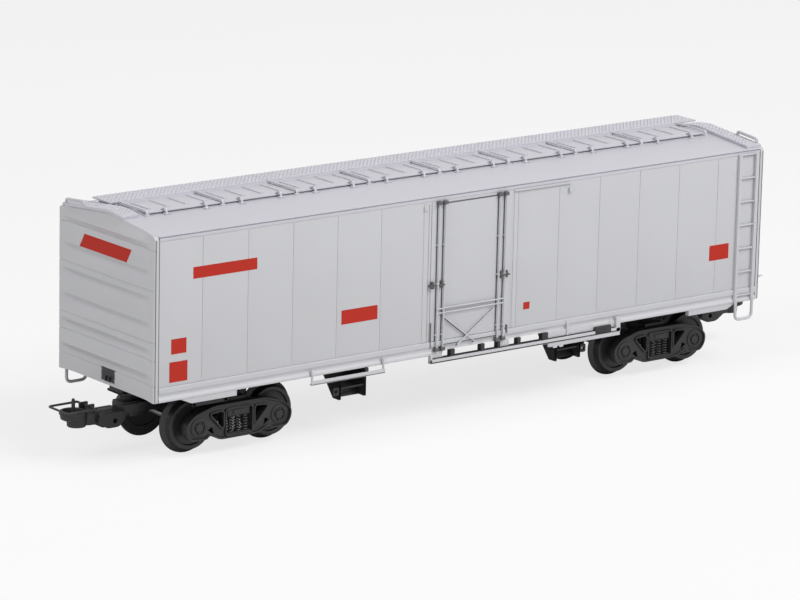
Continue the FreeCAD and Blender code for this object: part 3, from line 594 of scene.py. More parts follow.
# %% [markdown]
# ## The sides
# Each side is a row of flat panels between narrow seams, over a rolled sill whose
# skirts drop beside the bogies.  Separate panels over a backing sheet give real
# grooves, which shade themselves, where a painted line would look drawn on.  The sill
# has a flat band, a hollow below it and a lip, so it shows a dark line over a bright
# one.  A notch in its foot lets daylight through over the door rail.

# %% Panelled sides
roof_low, roof_high = span("roof")
side_low, side_high = span("front_side_wall")
door_low, door_high = span("front_door")
end_low, end_high = span("left_end_wall")
HALF_LENGTH = side_high.x
SIDE_Y = roof_low.y
SILL_Z = end_low.z
BAND_Z = door_low.z
EAVE_Z = side_high.z
EAVE_TOP = EAVE_Z + 1.0
NOTCH_Z = span("floor")[0].z
NOTCH_LEFT = -9.5
NOTCH_RIGHT = 24.5
PANEL_PITCH = 11.2
DOORWAY_HALF = 12.5
PANEL_COUNT = 5
SEAM = 0.12
PANEL_DEPTH = 0.07
PANEL_LAP = 0.04
TOP_SEAM = 0.16
door_middle = (door_low.x + door_high.x) / 2

offsets = [DOORWAY_HALF + PANEL_PITCH * at for at in range(PANEL_COUNT + 1)]
seams = [
    -HALF_LENGTH, *[door_middle - offset for offset in reversed(offsets)], door_low.x,
    door_high.x, *[door_middle + offset for offset in offsets], HALF_LENGTH,
]

side = bmesh.new()
for start, end in zip(seams, seams[1:]):
    slab(
        side, (start + SEAM / 2, SIDE_Y, BAND_Z),
        (end - SEAM / 2, SIDE_Y + PANEL_DEPTH + PANEL_LAP, EAVE_Z - TOP_SEAM), 0.03,
    )
BAND_LIP = [
    (0.0, 0.0), (-0.18, 0.0), (-0.3, 0.14), (-0.3, 0.42), (-0.2, 0.66), (-0.08, 0.8),
]
BAND_HOLLOW = [
    (0.04, 1.05), (0.06, 1.3), (0.0, 1.55), (-0.12, 1.75), (-0.22, 1.86), (-0.24, 2.0),
    (-0.24, 2.86), (-0.16, 2.96), (PANEL_DEPTH + 0.1, 2.96),
]


def band_outline(points, foot):
    """The sill's section between its foot and the seam over it."""
    outline = [(SIDE_Y + out, SILL_Z + up) for out, up in points]
    return [(SIDE_Y + PANEL_DEPTH + 0.1, foot)] + outline


for start, end, points, foot in (
    (-HALF_LENGTH, NOTCH_LEFT, BAND_LIP + BAND_HOLLOW, SILL_Z),
    (NOTCH_LEFT, NOTCH_RIGHT, [(-0.1, 0.8)] + BAND_HOLLOW, NOTCH_Z),
    (NOTCH_RIGHT, HALF_LENGTH, BAND_LIP + BAND_HOLLOW, SILL_Z),
):
    prism(side, "X", band_outline(points, foot), start, end, 0.0)
    slab(side, (start, SIDE_Y + PANEL_DEPTH, foot), (end, side_high.y, EAVE_Z), 0.0)
SKIRT_INNER = 60.6
SKIRT_OUTER = 71.7
SKIRT_SLOPE = 3.0
for sign in (-1, 1):
    prism(
        side, "Y",
        [
            (sign * SKIRT_INNER, SILL_Z + 0.2), (sign * SKIRT_INNER, side_low.z),
            (sign * SKIRT_OUTER, side_low.z), (sign * (SKIRT_OUTER + SKIRT_SLOPE), SILL_Z + 0.1),
        ],
        SIDE_Y - 0.12, side_high.y, 0.06,
    )
make_both("front_panelling", side, silver_plastic, "front_side_wall")

# %% [markdown]
# ## The ends
# Pressed ribs stiffen an end moulding.  Each swells slowly outward as it comes down,
# turns sharply under at a knee, and fades through a cove into the next bay; at the
# corners it runs out to a point.  A height field says all of that in one formula, on
# a grid whose lines crowd together where the shape is sharp.

# %% Pressed ends
RIB_COUNT = 6
RIB_STEP = 5.35
RIB_KNEES = [SILL_Z + 5.55 + RIB_STEP * at for at in range(RIB_COUNT)]
RIB_COVE = 1.5
RIB_CREST = 0.55
RIB_FALL = 3.0
RIB_LEAN = 1.35
RIB_POINT = 5.0
END_HOLLOW = 0.7
END_PLANE = -81.0
CORNER_ROUND = 0.35
SHOULDER_ROUND = 0.9
FINE_SEAMS = (17.85, 23.1, 26.9, 37.55, 45.7)
FINE_DEPTH = 0.12
FINE_HALF = 0.1
SLOT_HALF = 2.2
SLOT_LOW = SILL_Z + 0.8
SLOT_TOP = SILL_Z + 3.2


def round_off(distance, radius):
    """How far a quarter round drops at a distance into its corner."""
    inside = min(max(distance, 0.0), radius)
    return radius - math.sqrt(radius ** 2 - inside ** 2)


def gable_top(across):
    """Height of the end's top edge, which is the roof's own line."""
    slope = (roof_high.z - EAVE_TOP) / roof_high.y
    shoulder = round_off(abs(across) - end_high.y + SHOULDER_ROUND, SHOULDER_ROUND)
    return roof_high.z - abs(across) * slope - shoulder


def rib_wave(up):
    """The ribs' section: a deepening cove, a sharp knee, then a long fall back."""
    for knee in RIB_KNEES:
        below = up - knee + RIB_COVE
        above = up - knee
        if 0 < below <= RIB_COVE:
            return RIB_LEAN * below ** 2 / (2 * RIB_COVE)
        if 0 < above <= RIB_CREST:
            return RIB_LEAN * (RIB_COVE / 2 + above - above ** 2 / (2 * RIB_CREST))
        if RIB_CREST < above < RIB_CREST + RIB_FALL:
            peak = RIB_LEAN * (RIB_COVE + RIB_CREST) / 2
            fallen = (above - RIB_CREST) / RIB_FALL
            return peak * (1 - fallen) ** 1.2
    return 0.0


def end_swell(across, up):
    """How far the end stands out of its plane at one point."""
    inward = end_high.y - abs(across)
    fade = math.sin(min(1.0, max(0.0, (inward - 0.5) / RIB_POINT)) * math.pi / 2)
    seam = FINE_DEPTH * any(abs(up - line) < FINE_HALF for line in FINE_SEAMS)
    corner = round_off(CORNER_ROUND - inward, CORNER_ROUND)
    return (rib_wave(up) - END_HOLLOW) * fade - seam - corner


COVE_ROWS = (1.0, 0.85, 0.7, 0.55, 0.4, 0.25, 0.1, 0.0)
CREST_ROWS = (0.25, 0.5, 0.75, 1.0)
FALL_ROWS = (0.12, 0.3, 0.5, 0.75, 1.0)
heights = {SILL_Z, SLOT_LOW, SLOT_TOP, roof_high.z - 1.2, roof_high.z}
for knee in RIB_KNEES:
    heights.update(knee - RIB_COVE * share for share in COVE_ROWS)
    heights.update(knee + RIB_CREST * share for share in CREST_ROWS)
    heights.update(knee + RIB_CREST + RIB_FALL * share for share in FALL_ROWS)
for seam in FINE_SEAMS:
    heights.update((seam - 0.15, seam - 0.07, seam + 0.07, seam + 0.15))
heights = sorted(height for height in heights if height <= roof_high.z)
COLUMNS = 54
across_at = sorted(
    {-SLOT_HALF, SLOT_HALF}
    | {end_high.y * math.sin(math.pi / 2 * (2 * at / COLUMNS - 1)) for at in range(COLUMNS + 1)}
)
TOP_BAND = 47.6


def end_point(across, height, lift=0.0):
    """A point of the end's face; the rows over the top rib close up to the gable."""
    top = gable_top(across)
    up = height
    if height > TOP_BAND:
        up = TOP_BAND + (height - TOP_BAND) * (top - TOP_BAND) / (roof_high.z - TOP_BAND)
    return (END_PLANE - end_swell(across, height) - lift, across, up)


end = bmesh.new()
sheets = []
for inside in (False, True):
    sheet = {}
    for column, across in enumerate(across_at):
        for line, height in enumerate(heights):
            out, _, up = end_point(across, height)
            sheet[column, line] = end.verts.new((end_high.x if inside else out, across, up))
    sheets.append(sheet)


def quad(bm, sheet, column, line):
    """One face of a sheet of points."""
    bm.faces.new([sheet[column + a, line + b] for a, b in ((0, 0), (1, 0), (1, 1), (0, 1))])


def wall_up(bm, front, back):
    """Close a front sheet to the back one along every open edge."""
    behind = {vert: back[key] for key, vert in front.items()}
    for edge in [edge for edge in bm.edges if len(edge.link_faces) == 1]:
        first, second = edge.verts
        if first in behind and second in behind:
            bm.faces.new((first, second, behind[second], behind[first]))
    bmesh.ops.recalc_face_normals(bm, faces=bm.faces)


def is_slot(column, line):
    inside_slot = -SLOT_HALF <= across_at[column] < SLOT_HALF
    return inside_slot and SLOT_LOW <= heights[line] < SLOT_TOP


quads = [
    (column, line)
    for column in range(len(across_at) - 1) for line in range(len(heights) - 1)
    if not is_slot(column, line)
]
for sheet in sheets:
    for column, line in quads:
        quad(end, sheet, column, line)
wall_up(end, *sheets)
for vert in [vert for vert in end.verts if not vert.link_faces]:
    end.verts.remove(vert)
make_both("left_pressed_end", end, silver_plastic, "left_end_wall")

# %% The pocket behind the slot
pocket = bmesh.new()
slab(
    pocket, (end_high.x - 0.5, -SLOT_HALF - 0.3, SLOT_LOW - 0.2),
    (end_high.x, SLOT_HALF + 0.3, SLOT_TOP + 0.2), 0.0,
)
for middle in (-0.6, 0.6):
    slab(
        pocket, (end_high.x - 0.9, middle - 0.2, SLOT_LOW),
        (end_high.x - 0.4, middle + 0.2, SLOT_LOW + 1.0), 0.05,
    )
make_both("left_slot_pocket", pocket, black_plastic, slot="black_plastic")

# %% Painted shadow in the joints between ends and sides
joints = bmesh.new()
for sign in (-1, 1):
    low, high = sorted((sign * (end_high.y - 0.3), sign * (end_high.y + 0.02)))
    for start, stop, proud, drop in (
        (END_PLANE + 0.28, END_PLANE + 0.46, 0.0, 0.7), (end_high.x - 0.1, end_high.x + 0.02, 0.01, 0.3),
    ):
        slab(joints, (start, low, SILL_Z + 0.1), (stop, high + proud, EAVE_TOP - drop), 0.0)
make_both("left_end_joints", joints, painted_shade_dark_plastic, slot="silver_plastic")

# %% [markdown]
# ## The roof
# A covered hopper is filled through a long trough along its ridge, closed by flat
# covers.  Straps hold the covers down and spring catches hold the straps.  A plank
# with a raised diamond tread lets someone walk beside them, and boards with the same
# tread cross the ends above the ladders.

# %% Roof sheet
RIDGE_Z = roof_high.z
ROOF_SLOPE = (RIDGE_Z - EAVE_TOP) / roof_high.y


def roof_z(across):
    """Height of the roof's outer surface."""
    return RIDGE_Z - ROOF_SLOPE * abs(across)


EAVE_LIP = 0.14
DRIP_TALL = 0.26
DRIP_DEEP = 0.3
under_lip = EAVE_TOP - EAVE_LIP
half_roof = [
    (roof_low.y, EAVE_TOP), (roof_low.y, under_lip), (roof_low.y + DRIP_DEEP, under_lip),
    (roof_low.y + DRIP_DEEP, under_lip - DRIP_TALL), (roof_low.y, under_lip - DRIP_TALL),
    (roof_low.y, EAVE_Z),
]
far_half = [(-across, up) for across, up in reversed(half_roof)]
roof_outline = half_roof + [(0, EAVE_Z + RIDGE_Z - EAVE_TOP)] + far_half + [(0, RIDGE_Z)]
roof = bmesh.new()
prism(roof, "X", roof_outline, roof_low.x, roof_high.x, 0.05)
fit(to_object("roof_sheet", roof, roof_plastic), "car_body", "roof_plastic", "roof")

# %% Trough covers with pressed cross ribs
cover_low, cover_high = span("roof_hatch_1")
last_low, last_high = span("roof_hatch_8")
COVERS = 8
cover_pitch = (last_low.x - cover_low.x) / (COVERS - 1)
cover_half = (cover_high.x - cover_low.x) / 2
cover_start = (cover_low.x + cover_high.x) / 2
PLATE_DROP = 0.24
PLATE_THICK = 0.24
KERB_INSET = 0.4
SINK = 0.02
PRESSED_HALF = 0.4
PRESSED_RIBS = 4
PRESSED_FRONT = 2.4
plate_top = cover_high.z - PLATE_DROP

cover = bmesh.new()
slab(
    cover, (-cover_half, cover_low.y, plate_top - PLATE_THICK),
    (cover_half, cover_high.y, plate_top), 0.1,
)
for at in range(PRESSED_RIBS):
    middle = cover_half * (2 * at - PRESSED_RIBS + 1) / PRESSED_RIBS
    slab(
        cover, (middle - PRESSED_HALF, cover_low.y + PRESSED_FRONT, plate_top - 0.1),
        (middle + PRESSED_HALF, cover_high.y - 0.6, cover_high.z), 0.16,
    )
covers = row(
    "trough_covers", to_object("cover_unit", cover, roof_plastic), COVERS,
    (cover_start, 0, 0), (cover_pitch, 0, 0), roof_plastic,
)
fit(covers, "car_body", "roof_plastic", *[f"roof_hatch_{at + 1}" for at in range(COVERS)])

# The kerb under the covers' front lips is painted mid grey as the shade that falls there.
kerb = bmesh.new()
kerb_near = cover_low.y + KERB_INSET
kerb_far = cover_high.y - KERB_INSET
kerb_top = plate_top - PLATE_THICK + SINK
prism(kerb, "X", [
    (kerb_near, roof_z(kerb_near) - SINK), (0, RIDGE_Z - SINK), (kerb_far, roof_z(kerb_far) - SINK),
    (kerb_far, kerb_top), (kerb_near, kerb_top),
], cover_low.x + 0.2, last_high.x - 0.2, 0.0)
fit(to_object("trough_kerb", kerb, painted_shade_mid_plastic), "car_body", "roof_plastic")

# %% Straps across the joints between covers
strap_low, strap_high = span("hatch_straps")
STRAP_HALF = 0.35
STRAP_BAR = 0.28


def strip(path, thickness):
    """The outline of a thin bent strip, from its middle line."""
    points = [Vector(point) for point in path]
    left, right = [], []
    for at, point in enumerate(points):
        before = points[max(0, at - 1)]
        after = points[min(len(points) - 1, at + 1)]
        along = (after - before).normalized()
        aside = Vector((-along.y, along.x)) * thickness / 2
        left.append(tuple(point + aside))
        right.append(tuple(point - aside))
    return left + right[::-1]


strap = bmesh.new()
strap_top = strap_high.z - 0.15
prism(strap, "X", strip([
    (cover_high.y - 0.1, strap_top), (cover_low.y + 0.35, strap_top),
    (cover_low.y + 0.02, strap_top - 0.07), (cover_low.y - 0.2, strap_top - 0.3),
    (cover_low.y - 0.28, strap_top - 0.62), (strap_low.y + 0.3, roof_z(strap_low.y) + 0.1),
], 0.3), -STRAP_BAR, STRAP_BAR, 0.08)
slab(
    strap, (-STRAP_HALF - 0.25, strap_low.y, roof_z(strap_low.y) - 0.05),
    (STRAP_HALF + 0.25, strap_low.y + 0.6, roof_z(strap_low.y) + 0.34), 0.1,
)
strap_start = strap_low.x + STRAP_HALF
strap_pitch = (strap_high.x - strap_low.x - 2 * STRAP_HALF) / COVERS
straps = row(
    "cover_straps", to_object("strap_unit", strap, roof_plastic), COVERS + 1,
    (strap_start, 0, 0), (strap_pitch, 0, 0), roof_plastic,
)
fit(straps, "car_body", slot_of["hatch_straps"], "hatch_straps")

# %% Spring catches on the covers' front edges
catch_low = span("hatch_latches")[0]
CATCH_HALF = 0.35
catch_offset = cover_start - catch_low.x - CATCH_HALF


def catch_bow(name):
    """The catch's bowed strip, from a knob on the cover down towards its foot."""
    bm = bmesh.new()
    top = cover_high.z
    path = [
        (cover_low.y + 0.6, top - 0.1), (cover_low.y + 0.35, top + 0.2), (cover_low.y - 0.05, top + 0.3),
        (cover_low.y - 0.45, top + 0.16), (cover_low.y - 0.66, top - 0.16),
        (cover_low.y - 0.74, top - 0.55), (catch_low.y + 0.25, top - 0.85),
    ]
    prism(bm, "X", strip(path, 0.24), -0.24, 0.24, 0.06)
    return to_object(name, bm, roof_plastic)


def catch_foot(name):
    """The forked foot that the bow springs from, and the knob that it grips, both painted near black as
    shade.
    """
    bm = bmesh.new()
    foot = roof_z(catch_low.y)
    for sign in (-1, 1):
        slab(
            bm, (sign * 0.24, catch_low.y, foot - 0.05),
            (sign * 0.6, catch_low.y + 0.9, foot + 0.4), 0.08,
        )
    slab(bm, (-0.55, catch_low.y, foot - 0.05), (0.55, catch_low.y + 0.4, foot + 0.14), 0.05)
    slab(
        bm, (-0.34, cover_low.y + 0.5, plate_top - 0.05),
        (0.34, cover_low.y + 0.95, cover_high.z + 0.12), 0.1,
    )
    return to_object(name, bm, painted_shade_dark_plastic)


catch_rows = [
    row(
        f"catches_{way}_{kind}", unit(f"catch_unit_{way}_{kind}"), COVERS,
        (cover_start + offset, 0, 0), (cover_pitch, 0, 0), finish,
    )
    for way, offset in (("a", -catch_offset), ("b", catch_offset))
    for kind, unit, finish in (
        ("bow", catch_bow, roof_plastic), ("foot", catch_foot, painted_shade_dark_plastic),
    )
]
fit(joined("cover_catches", catch_rows), "car_body", slot_of["hatch_latches"], "hatch_latches")

# %% Diamond tread
STUD_LONG = 0.42
STUD_WIDE = 0.2
STUD_TALL = 0.15


def stud_unit(name, turn):
    """One raised lozenge, its long axis turned from the plank's length."""
    bm = bmesh.new()
    points = [(STUD_LONG, 0), (0, STUD_WIDE), (-STUD_LONG, 0), (0, -STUD_WIDE)]
    foot = [bm.verts.new((x, y, -0.02)) for x, y in points]
    crest = [bm.verts.new((x * 0.5, y * 0.5, STUD_TALL)) for x, y in points]
    bm.faces.new(list(reversed(foot)))
    bm.faces.new(crest)
    for at in range(4):
        after = (at + 1) % 4
        bm.faces.new((foot[at], foot[after], crest[after], crest[at]))
    bm.transform(Matrix.Rotation(turn, 4, "Z"))
    return to_object(name, bm, roof_plastic)


def tread(name, corner, along, across, lines, count):
    """Lines of lozenges that lean one way and the other by turns."""
    corner, along, across = Vector(corner), Vector(along), Vector(across)
    made = []
    for line in range(lines):
        lean = math.radians(45 if line % 2 else -45)
        shift = along * 0.5 if line % 2 else Vector()
        made.append(row(
            f"{name}_line_{line}", stud_unit(f"{name}_stud_{line}", lean),
            count - line % 2, corner + across * line + shift, along, roof_plastic,
        ))
    return made


# %% The plank beside the covers
plank_low, plank_high = span("roof_walkway")
PLANK_THICK = 0.5
PLANK_TOP = plank_high.z - STUD_TALL
TREAD_PITCH = 1.0
PLANK_LINES = 10
TREAD_EDGE = 0.5
plank = bmesh.new()
slab(
    plank, (cover_low.x, cover_high.y - 0.1, roof_z(cover_high.y) - 0.3),
    (last_high.x, plank_low.y + 0.3, plank_high.z - PLANK_THICK + 0.06), 0.05,
)
brackets = [strap_start + strap_pitch * at for at in range(COVERS + 1)]
bays = [plank_low.x, *brackets[1:-1], plank_high.x]
for start, end in zip(bays, bays[1:]):
    slab(
        plank, (start + 0.06, plank_low.y, plank_high.z - PLANK_THICK),
        (end - 0.06, plank_high.y, PLANK_TOP), 0.07,
    )
near_y = plank_low.y + 0.2
far_y = plank_high.y - 0.2
bracket_top = plank_high.z - PLANK_THICK + 0.05
for middle in brackets:
    prism(plank, "X", [
        (near_y, roof_z(near_y)), (far_y, roof_z(far_y)), (far_y, bracket_top), (near_y, bracket_top),
    ], middle - 0.6, middle + 0.6, 0.05)
line_step = (plank_high.y - plank_low.y - 2 * TREAD_EDGE) / (PLANK_LINES - 1)
studs = tread(
    "plank_tread", (plank_low.x + 0.7, plank_low.y + TREAD_EDGE, PLANK_TOP),
    (TREAD_PITCH, 0, 0), (0, line_step, 0), PLANK_LINES,
    int((plank_high.x - plank_low.x - 2 * TREAD_EDGE) / TREAD_PITCH),
)
fit(
    joined("roof_plank", [to_object("plank_boards", plank, roof_plastic), *studs]),
    "car_body", slot_of["roof_walkway"], "roof_walkway",
)

# %% The boards across the ends
board_low, board_high = span("left_roof_platform")
BOARD_THICK = 0.8
BOARD_LINES = 7
BOARD_LINE_STEP = TREAD_PITCH / 2 + 0.05
board = bmesh.new()
board_top = BOARD_THICK - STUD_TALL
prism(
    board, "X",
    [
        (board_low.y, roof_z(board_low.y)), (0, RIDGE_Z), (board_high.y, roof_z(board_high.y)),
        (board_high.y, roof_z(board_high.y) + board_top), (0, RIDGE_Z + board_top),
        (board_low.y, roof_z(board_low.y) + board_top),
    ],
    board_low.x, board_high.x, 0.1,
)
board_studs = tread(
    "board_tread", (board_low.x + 0.6, 0.5, roof_z(0.5) + board_top),
    (0, TREAD_PITCH, -ROOF_SLOPE * TREAD_PITCH), (BOARD_LINE_STEP, 0, 0), BOARD_LINES,
    int((board_high.y - 1.0) / TREAD_PITCH),
)
short_studs = tread(
    "short_tread", (board_low.x + 0.6, -0.6, roof_z(0.6) + board_top),
    (0, -TREAD_PITCH, -ROOF_SLOPE * TREAD_PITCH), (BOARD_LINE_STEP, 0, 0), BOARD_LINES,
    int((-board_low.y - 0.6) / TREAD_PITCH),
)
both_ways(
    "left_end_board",
    joined("left_end_board", [
        to_object("end_board_plate", board, roof_plastic), *board_studs, *short_studs,
    ]),
    "car_body", slot_of["left_roof_platform"], "left_roof_platform",
)

# %% Grab irons over the ladders
grab_low, grab_high = span("left_roof_grab_iron")
GRAB_RADIUS = 0.33
grab_x = (grab_low.x + grab_high.x) / 2
near_y = grab_low.y + GRAB_RADIUS
far_y = grab_high.y - GRAB_RADIUS
near_foot = roof_z(near_y) + BOARD_THICK - 0.1
far_foot = roof_z(far_y) + BOARD_THICK - 0.1
near_top = grab_high.z - GRAB_RADIUS
far_top = near_top - ROOF_SLOPE * (far_y - near_y)
grab = bmesh.new()
pipe(grab, rounded([
    (grab_x, near_y, near_foot), (grab_x, near_y, near_top),
    (grab_x, far_y, far_top), (grab_x, far_y, far_foot),
], 0.6), GRAB_RADIUS)
make_both("left_grab_iron", grab, silver_plastic, "left_roof_grab_iron")

# %% [markdown]
# ## The side's fittings
# The plug door is flush with the side and held by four upright locking rods.  Turning
# a lever draws the door out, and it then runs on the long rail below the sill.  The
# ladder at the right end leads down to a stirrup.

# %% Door leaf and its frame
rod_low, rod_high = span("front_door_rods")
DOOR_STRIPS = ((-13.45, -12.2), (10.55, 11.0))
STRIP_OUT = 0.09
HOOD_Z = EAVE_Z - 0.6
door = bmesh.new()
slab(door, (door_low.x, SIDE_Y - 0.12, door_low.z), (door_high.x, SIDE_Y + 0.02, door_high.z), 0.06)
for start, end in DOOR_STRIPS:
    slab(door, (start, SIDE_Y - STRIP_OUT, BAND_Z), (end, SIDE_Y + 0.02, HOOD_Z), 0.06)
slab(door, (-13.5, SIDE_Y - 0.3, HOOD_Z - 1.3), (-12.5, SIDE_Y + 0.02, HOOD_Z - 0.2), 0.1)
make_both("front_door_leaf", door, silver_plastic, "front_door")

# %% Locking rods, their guides, levers and the cross links
ROD_INSET = (rod_low.x + 0.2, rod_low.x + 1.8, rod_high.x - 2.0, rod_high.x - 0.4)
ROD_Y = rod_low.y + 0.35
ROD_RADIUS = 0.19
ROD_TOP = rod_high.z
GUIDE_HEIGHTS = (18.9, 29.9, 38.2)
LINK_RADIUS = 0.15
LINK_ENDS = (ROD_INSET[0] - 0.3, ROD_INSET[3] + 0.3)
LINKS = (
    *[((LINK_ENDS[0], height), (LINK_ENDS[1], height)) for height in (24.5, 23.55)],
    ((-8.2, 22.8), (0.4, 16.2)),
    ((5.4, 22.7), (-4.2, 16.2)),
)
LEVERS = (
    (-11.2, 0.8), (ROD_INSET[1] - 0.6, 0.7), (ROD_INSET[2] + 0.7, 0.6), (ROD_INSET[3] + 0.5, 0.8),
)
LEVER_Z = 29.45
DOOR_FACE = SIDE_Y - 0.12
rods = bmesh.new()
for middle in ROD_INSET:
    pipe(rods, [(middle, ROD_Y, rod_low.z), (middle, ROD_Y, ROD_TOP)], ROD_RADIUS)
    for height in GUIDE_HEIGHTS:
        slab(
            rods, (middle - 0.36, ROD_Y - 0.05, height - 0.18),
            (middle + 0.36, DOOR_FACE + 0.05, height + 0.18), 0.06,
        )
for start, end in LINKS:
    pipe(rods, [(across, ROD_Y + 0.02, up) for across, up in (start, end)], LINK_RADIUS)
make_both("front_locking_rods", rods, silver_plastic, "front_door_rods")

# %% Painted shadow in the door's gaps and beside its rods, with its fittings in the same near-black grey
LINE_OUT = 0.03
SHOE_TALL = 0.75
DOOR_STOPS = ((9.0, 9.35, 0.4, 16.7, 18.5, 0.06), (-11.35, -11.1, 0.3, 16.2, 21.6, 0.05))
fittings = bmesh.new()
# Near-black strips beside each rod are painted shadow of the rod on the door.
for middle in ROD_INSET:
    slab(
        fittings, (middle - 0.38, DOOR_FACE - LINE_OUT, rod_low.z + 0.5),
        (middle - 0.08, DOOR_FACE + 0.05, ROD_TOP - 0.3), 0.0,
    )
    for height in (ROD_TOP - SHOE_TALL, rod_low.z + 0.1):
        slab(
            fittings, (middle - 0.5, ROD_Y - 0.32, height),
            (middle + 0.5, SIDE_Y, height + SHOE_TALL), 0.1,
        )
# Near-black lines along the door's top and its foot are painted shadow in its gaps.
slab(
    fittings, (ROD_INSET[1], DOOR_FACE - LINE_OUT, ROD_TOP - SHOE_TALL),
    (ROD_INSET[3], SIDE_Y, ROD_TOP - SHOE_TALL + 0.25), 0.0,
)
slab(fittings, (ROD_INSET[1], SIDE_Y - 0.27, SILL_Z + 1.95), (ROD_INSET[2], SIDE_Y, SILL_Z + 2.15), 0.0)
# Near-black bars behind the cross links are painted shadow of the links.
for start, end in LINKS:
    shadow = [(across, DOOR_FACE + 0.08, up - 0.16) for across, up in (start, end)]
    pipe(fittings, shadow, 0.17, 8)
for middle, reach in LEVERS:
    slab(fittings, (middle - reach, ROD_Y - 0.28, LEVER_Z), (middle + reach, SIDE_Y, LEVER_Z + 0.35), 0.08)
    slab(
        fittings, (middle - 0.22, ROD_Y - 0.28, LEVER_Z - 0.45),
        (middle + 0.22, SIDE_Y, LEVER_Z + 1.05), 0.08,
    )
for start, end, out, low, high, edge in DOOR_STOPS:
    slab(fittings, (start, SIDE_Y - out, low), (end, SIDE_Y, high), edge)
# A near-black line beside the left strip is painted shadow in its groove.
strip_end = DOOR_STRIPS[0][1]
slab(fittings, (strip_end, SIDE_Y - 0.02, BAND_Z), (strip_end + 0.14, SIDE_Y + 0.02, HOOD_Z), 0.0)
make_both("front_door_fittings", fittings, painted_shade_dark_plastic, slot="silver_plastic")

# %% The rail that the door runs on
track_low, track_high = span("front_door_track")
gate_low, gate_high = span("front_gate_rail")
TRACK_LOW = track_low.z
TRACK_TOP = TRACK_LOW + 0.9
WINDOW_LEFT = 33.3
WINDOW_RIGHT = 37.8
GUIDE_RIGHT = 25.8
track = bmesh.new()
slab(track, (track_low.x, track_low.y, TRACK_LOW), (track_high.x, track_low.y + 0.3, TRACK_TOP), 0.08)
slab(track, (track_low.x, track_low.y, TRACK_LOW), (track_high.x, SIDE_Y, TRACK_LOW + 0.35), 0.06)
slab(track, (track_low.x, track_low.y, TRACK_LOW + 0.1), (track_low.x + 0.5, SIDE_Y, SILL_Z + 0.4), 0.08)
FLANGE_LEFT = 20.4
FLANGE_LOW = TRACK_LOW - 0.85
for start, end in (
    (track_low.x + 0.9, track_low.x + 3.5), (7.3, 9.9),
    (FLANGE_LEFT, WINDOW_LEFT), (WINDOW_RIGHT, track_high.x),
):
    slab(track, (start, SIDE_Y - 0.35, TRACK_TOP - 0.2), (end, SIDE_Y + 0.3, SILL_Z + 0.85), 0.05)
slab(
    track, (FLANGE_LEFT, track_low.y + 0.1, FLANGE_LOW),
    (track_high.x, track_low.y + 0.5, TRACK_LOW + SINK), 0.06,
)
slab(track, (track_high.x - 1.2, track_low.y, TRACK_LOW + 0.1), (track_high.x, SIDE_Y, SILL_Z + 1.6), 0.1)
slab(
    track, (door_high.x + 0.7, SIDE_Y - 0.35, track_high.z - 0.4),
    (GUIDE_RIGHT, SIDE_Y + 0.02, track_high.z), 0.07,
)
slab(track, (GUIDE_RIGHT - 0.5, SIDE_Y - 0.5, 45.2), (GUIDE_RIGHT + 0.3, SIDE_Y + 0.02, 46.3), 0.08)
slab(track, (25.6, SIDE_Y - 0.6, TRACK_TOP - 0.1), (26.1, SIDE_Y + 0.02, 17.0), 0.08)
for middle in (22.3, 24.0):
    slab(
        track, (middle - 0.5, track_low.y, FLANGE_LOW - 0.35),
        (middle + 0.5, track_low.y + 0.4, FLANGE_LOW + 0.1), 0.08,
    )
make_both("front_door_rail", track, silver_plastic, "front_door_track")

# %% Dark posts that carry the rails
RAIL_POSTS = ((-6.0, -4.9), (2.1, 3.1), (6.6, 7.3), (12.0, 12.9), (18.8, FLANGE_LEFT))
posts = bmesh.new()
for start, end in RAIL_POSTS:
    slab(
        posts, (start, track_low.y + 0.25, TRACK_LOW + 0.3), (end, SIDE_Y + 0.6, NOTCH_Z + SINK), 0.05,
    )
slab(
    posts, (track_low.x + 0.5, SIDE_Y - 0.6, TRACK_TOP - SINK),
    (track_high.x - 1.3, SIDE_Y + 0.2, TRACK_TOP + 0.16), 0.0,
)
slab(
    posts, (WINDOW_LEFT, track_low.y - 0.01, TRACK_LOW + 0.25),
    (WINDOW_RIGHT, SIDE_Y + 0.3, SILL_Z + 0.15), 0.04,
)
slab(
    posts, (gate_low.x + 14.0, gate_low.y + 0.2, gate_low.z + 0.1),
    (gate_low.x + 14.8, SIDE_Y + 0.3, SILL_Z + 0.02), 0.05,
)
make_both("front_rail_posts", posts, black_plastic, slot="black_plastic")

# %% The short rail over the chute
gate = bmesh.new()
slab(gate, (gate_low.x, gate_low.y, gate_low.z), (gate_high.x, gate_low.y + 0.3, gate_low.z + 0.9), 0.07)
slab(gate, (gate_low.x, gate_low.y, gate_low.z), (gate_high.x, gate_high.y, gate_low.z + 0.25), 0.06)
for middle in (gate_low.x + 0.35, gate_high.x - 0.35):
    pipe(gate, rounded([
        (middle, gate_high.y + 0.05, gate_high.z - 0.3), (middle, gate_low.y + 0.25, gate_high.z - 0.3),
        (middle, gate_low.y + 0.25, gate_low.z + 0.4),
    ], 0.2), 0.24)
make_both("front_chute_rail", gate, silver_plastic, "front_gate_rail")

# %% Ladder and stirrup
ladder_low, ladder_high = span("front_ladder")
STILE_WIDE = 0.7
RUNGS = 7
RUNG_START = 16.1
RUNG_STEP = (EAVE_TOP - 0.9 - RUNG_START) / (RUNGS - 1)
RUNG_RADIUS = 0.19
ladder = bmesh.new()
for start in (ladder_low.x, ladder_high.x - STILE_WIDE):
    slab(
        ladder, (start, ladder_low.y + 0.2, SILL_Z + 0.05),
        (start + STILE_WIDE, SIDE_Y + 0.02, ladder_high.z), 0.09,
    )
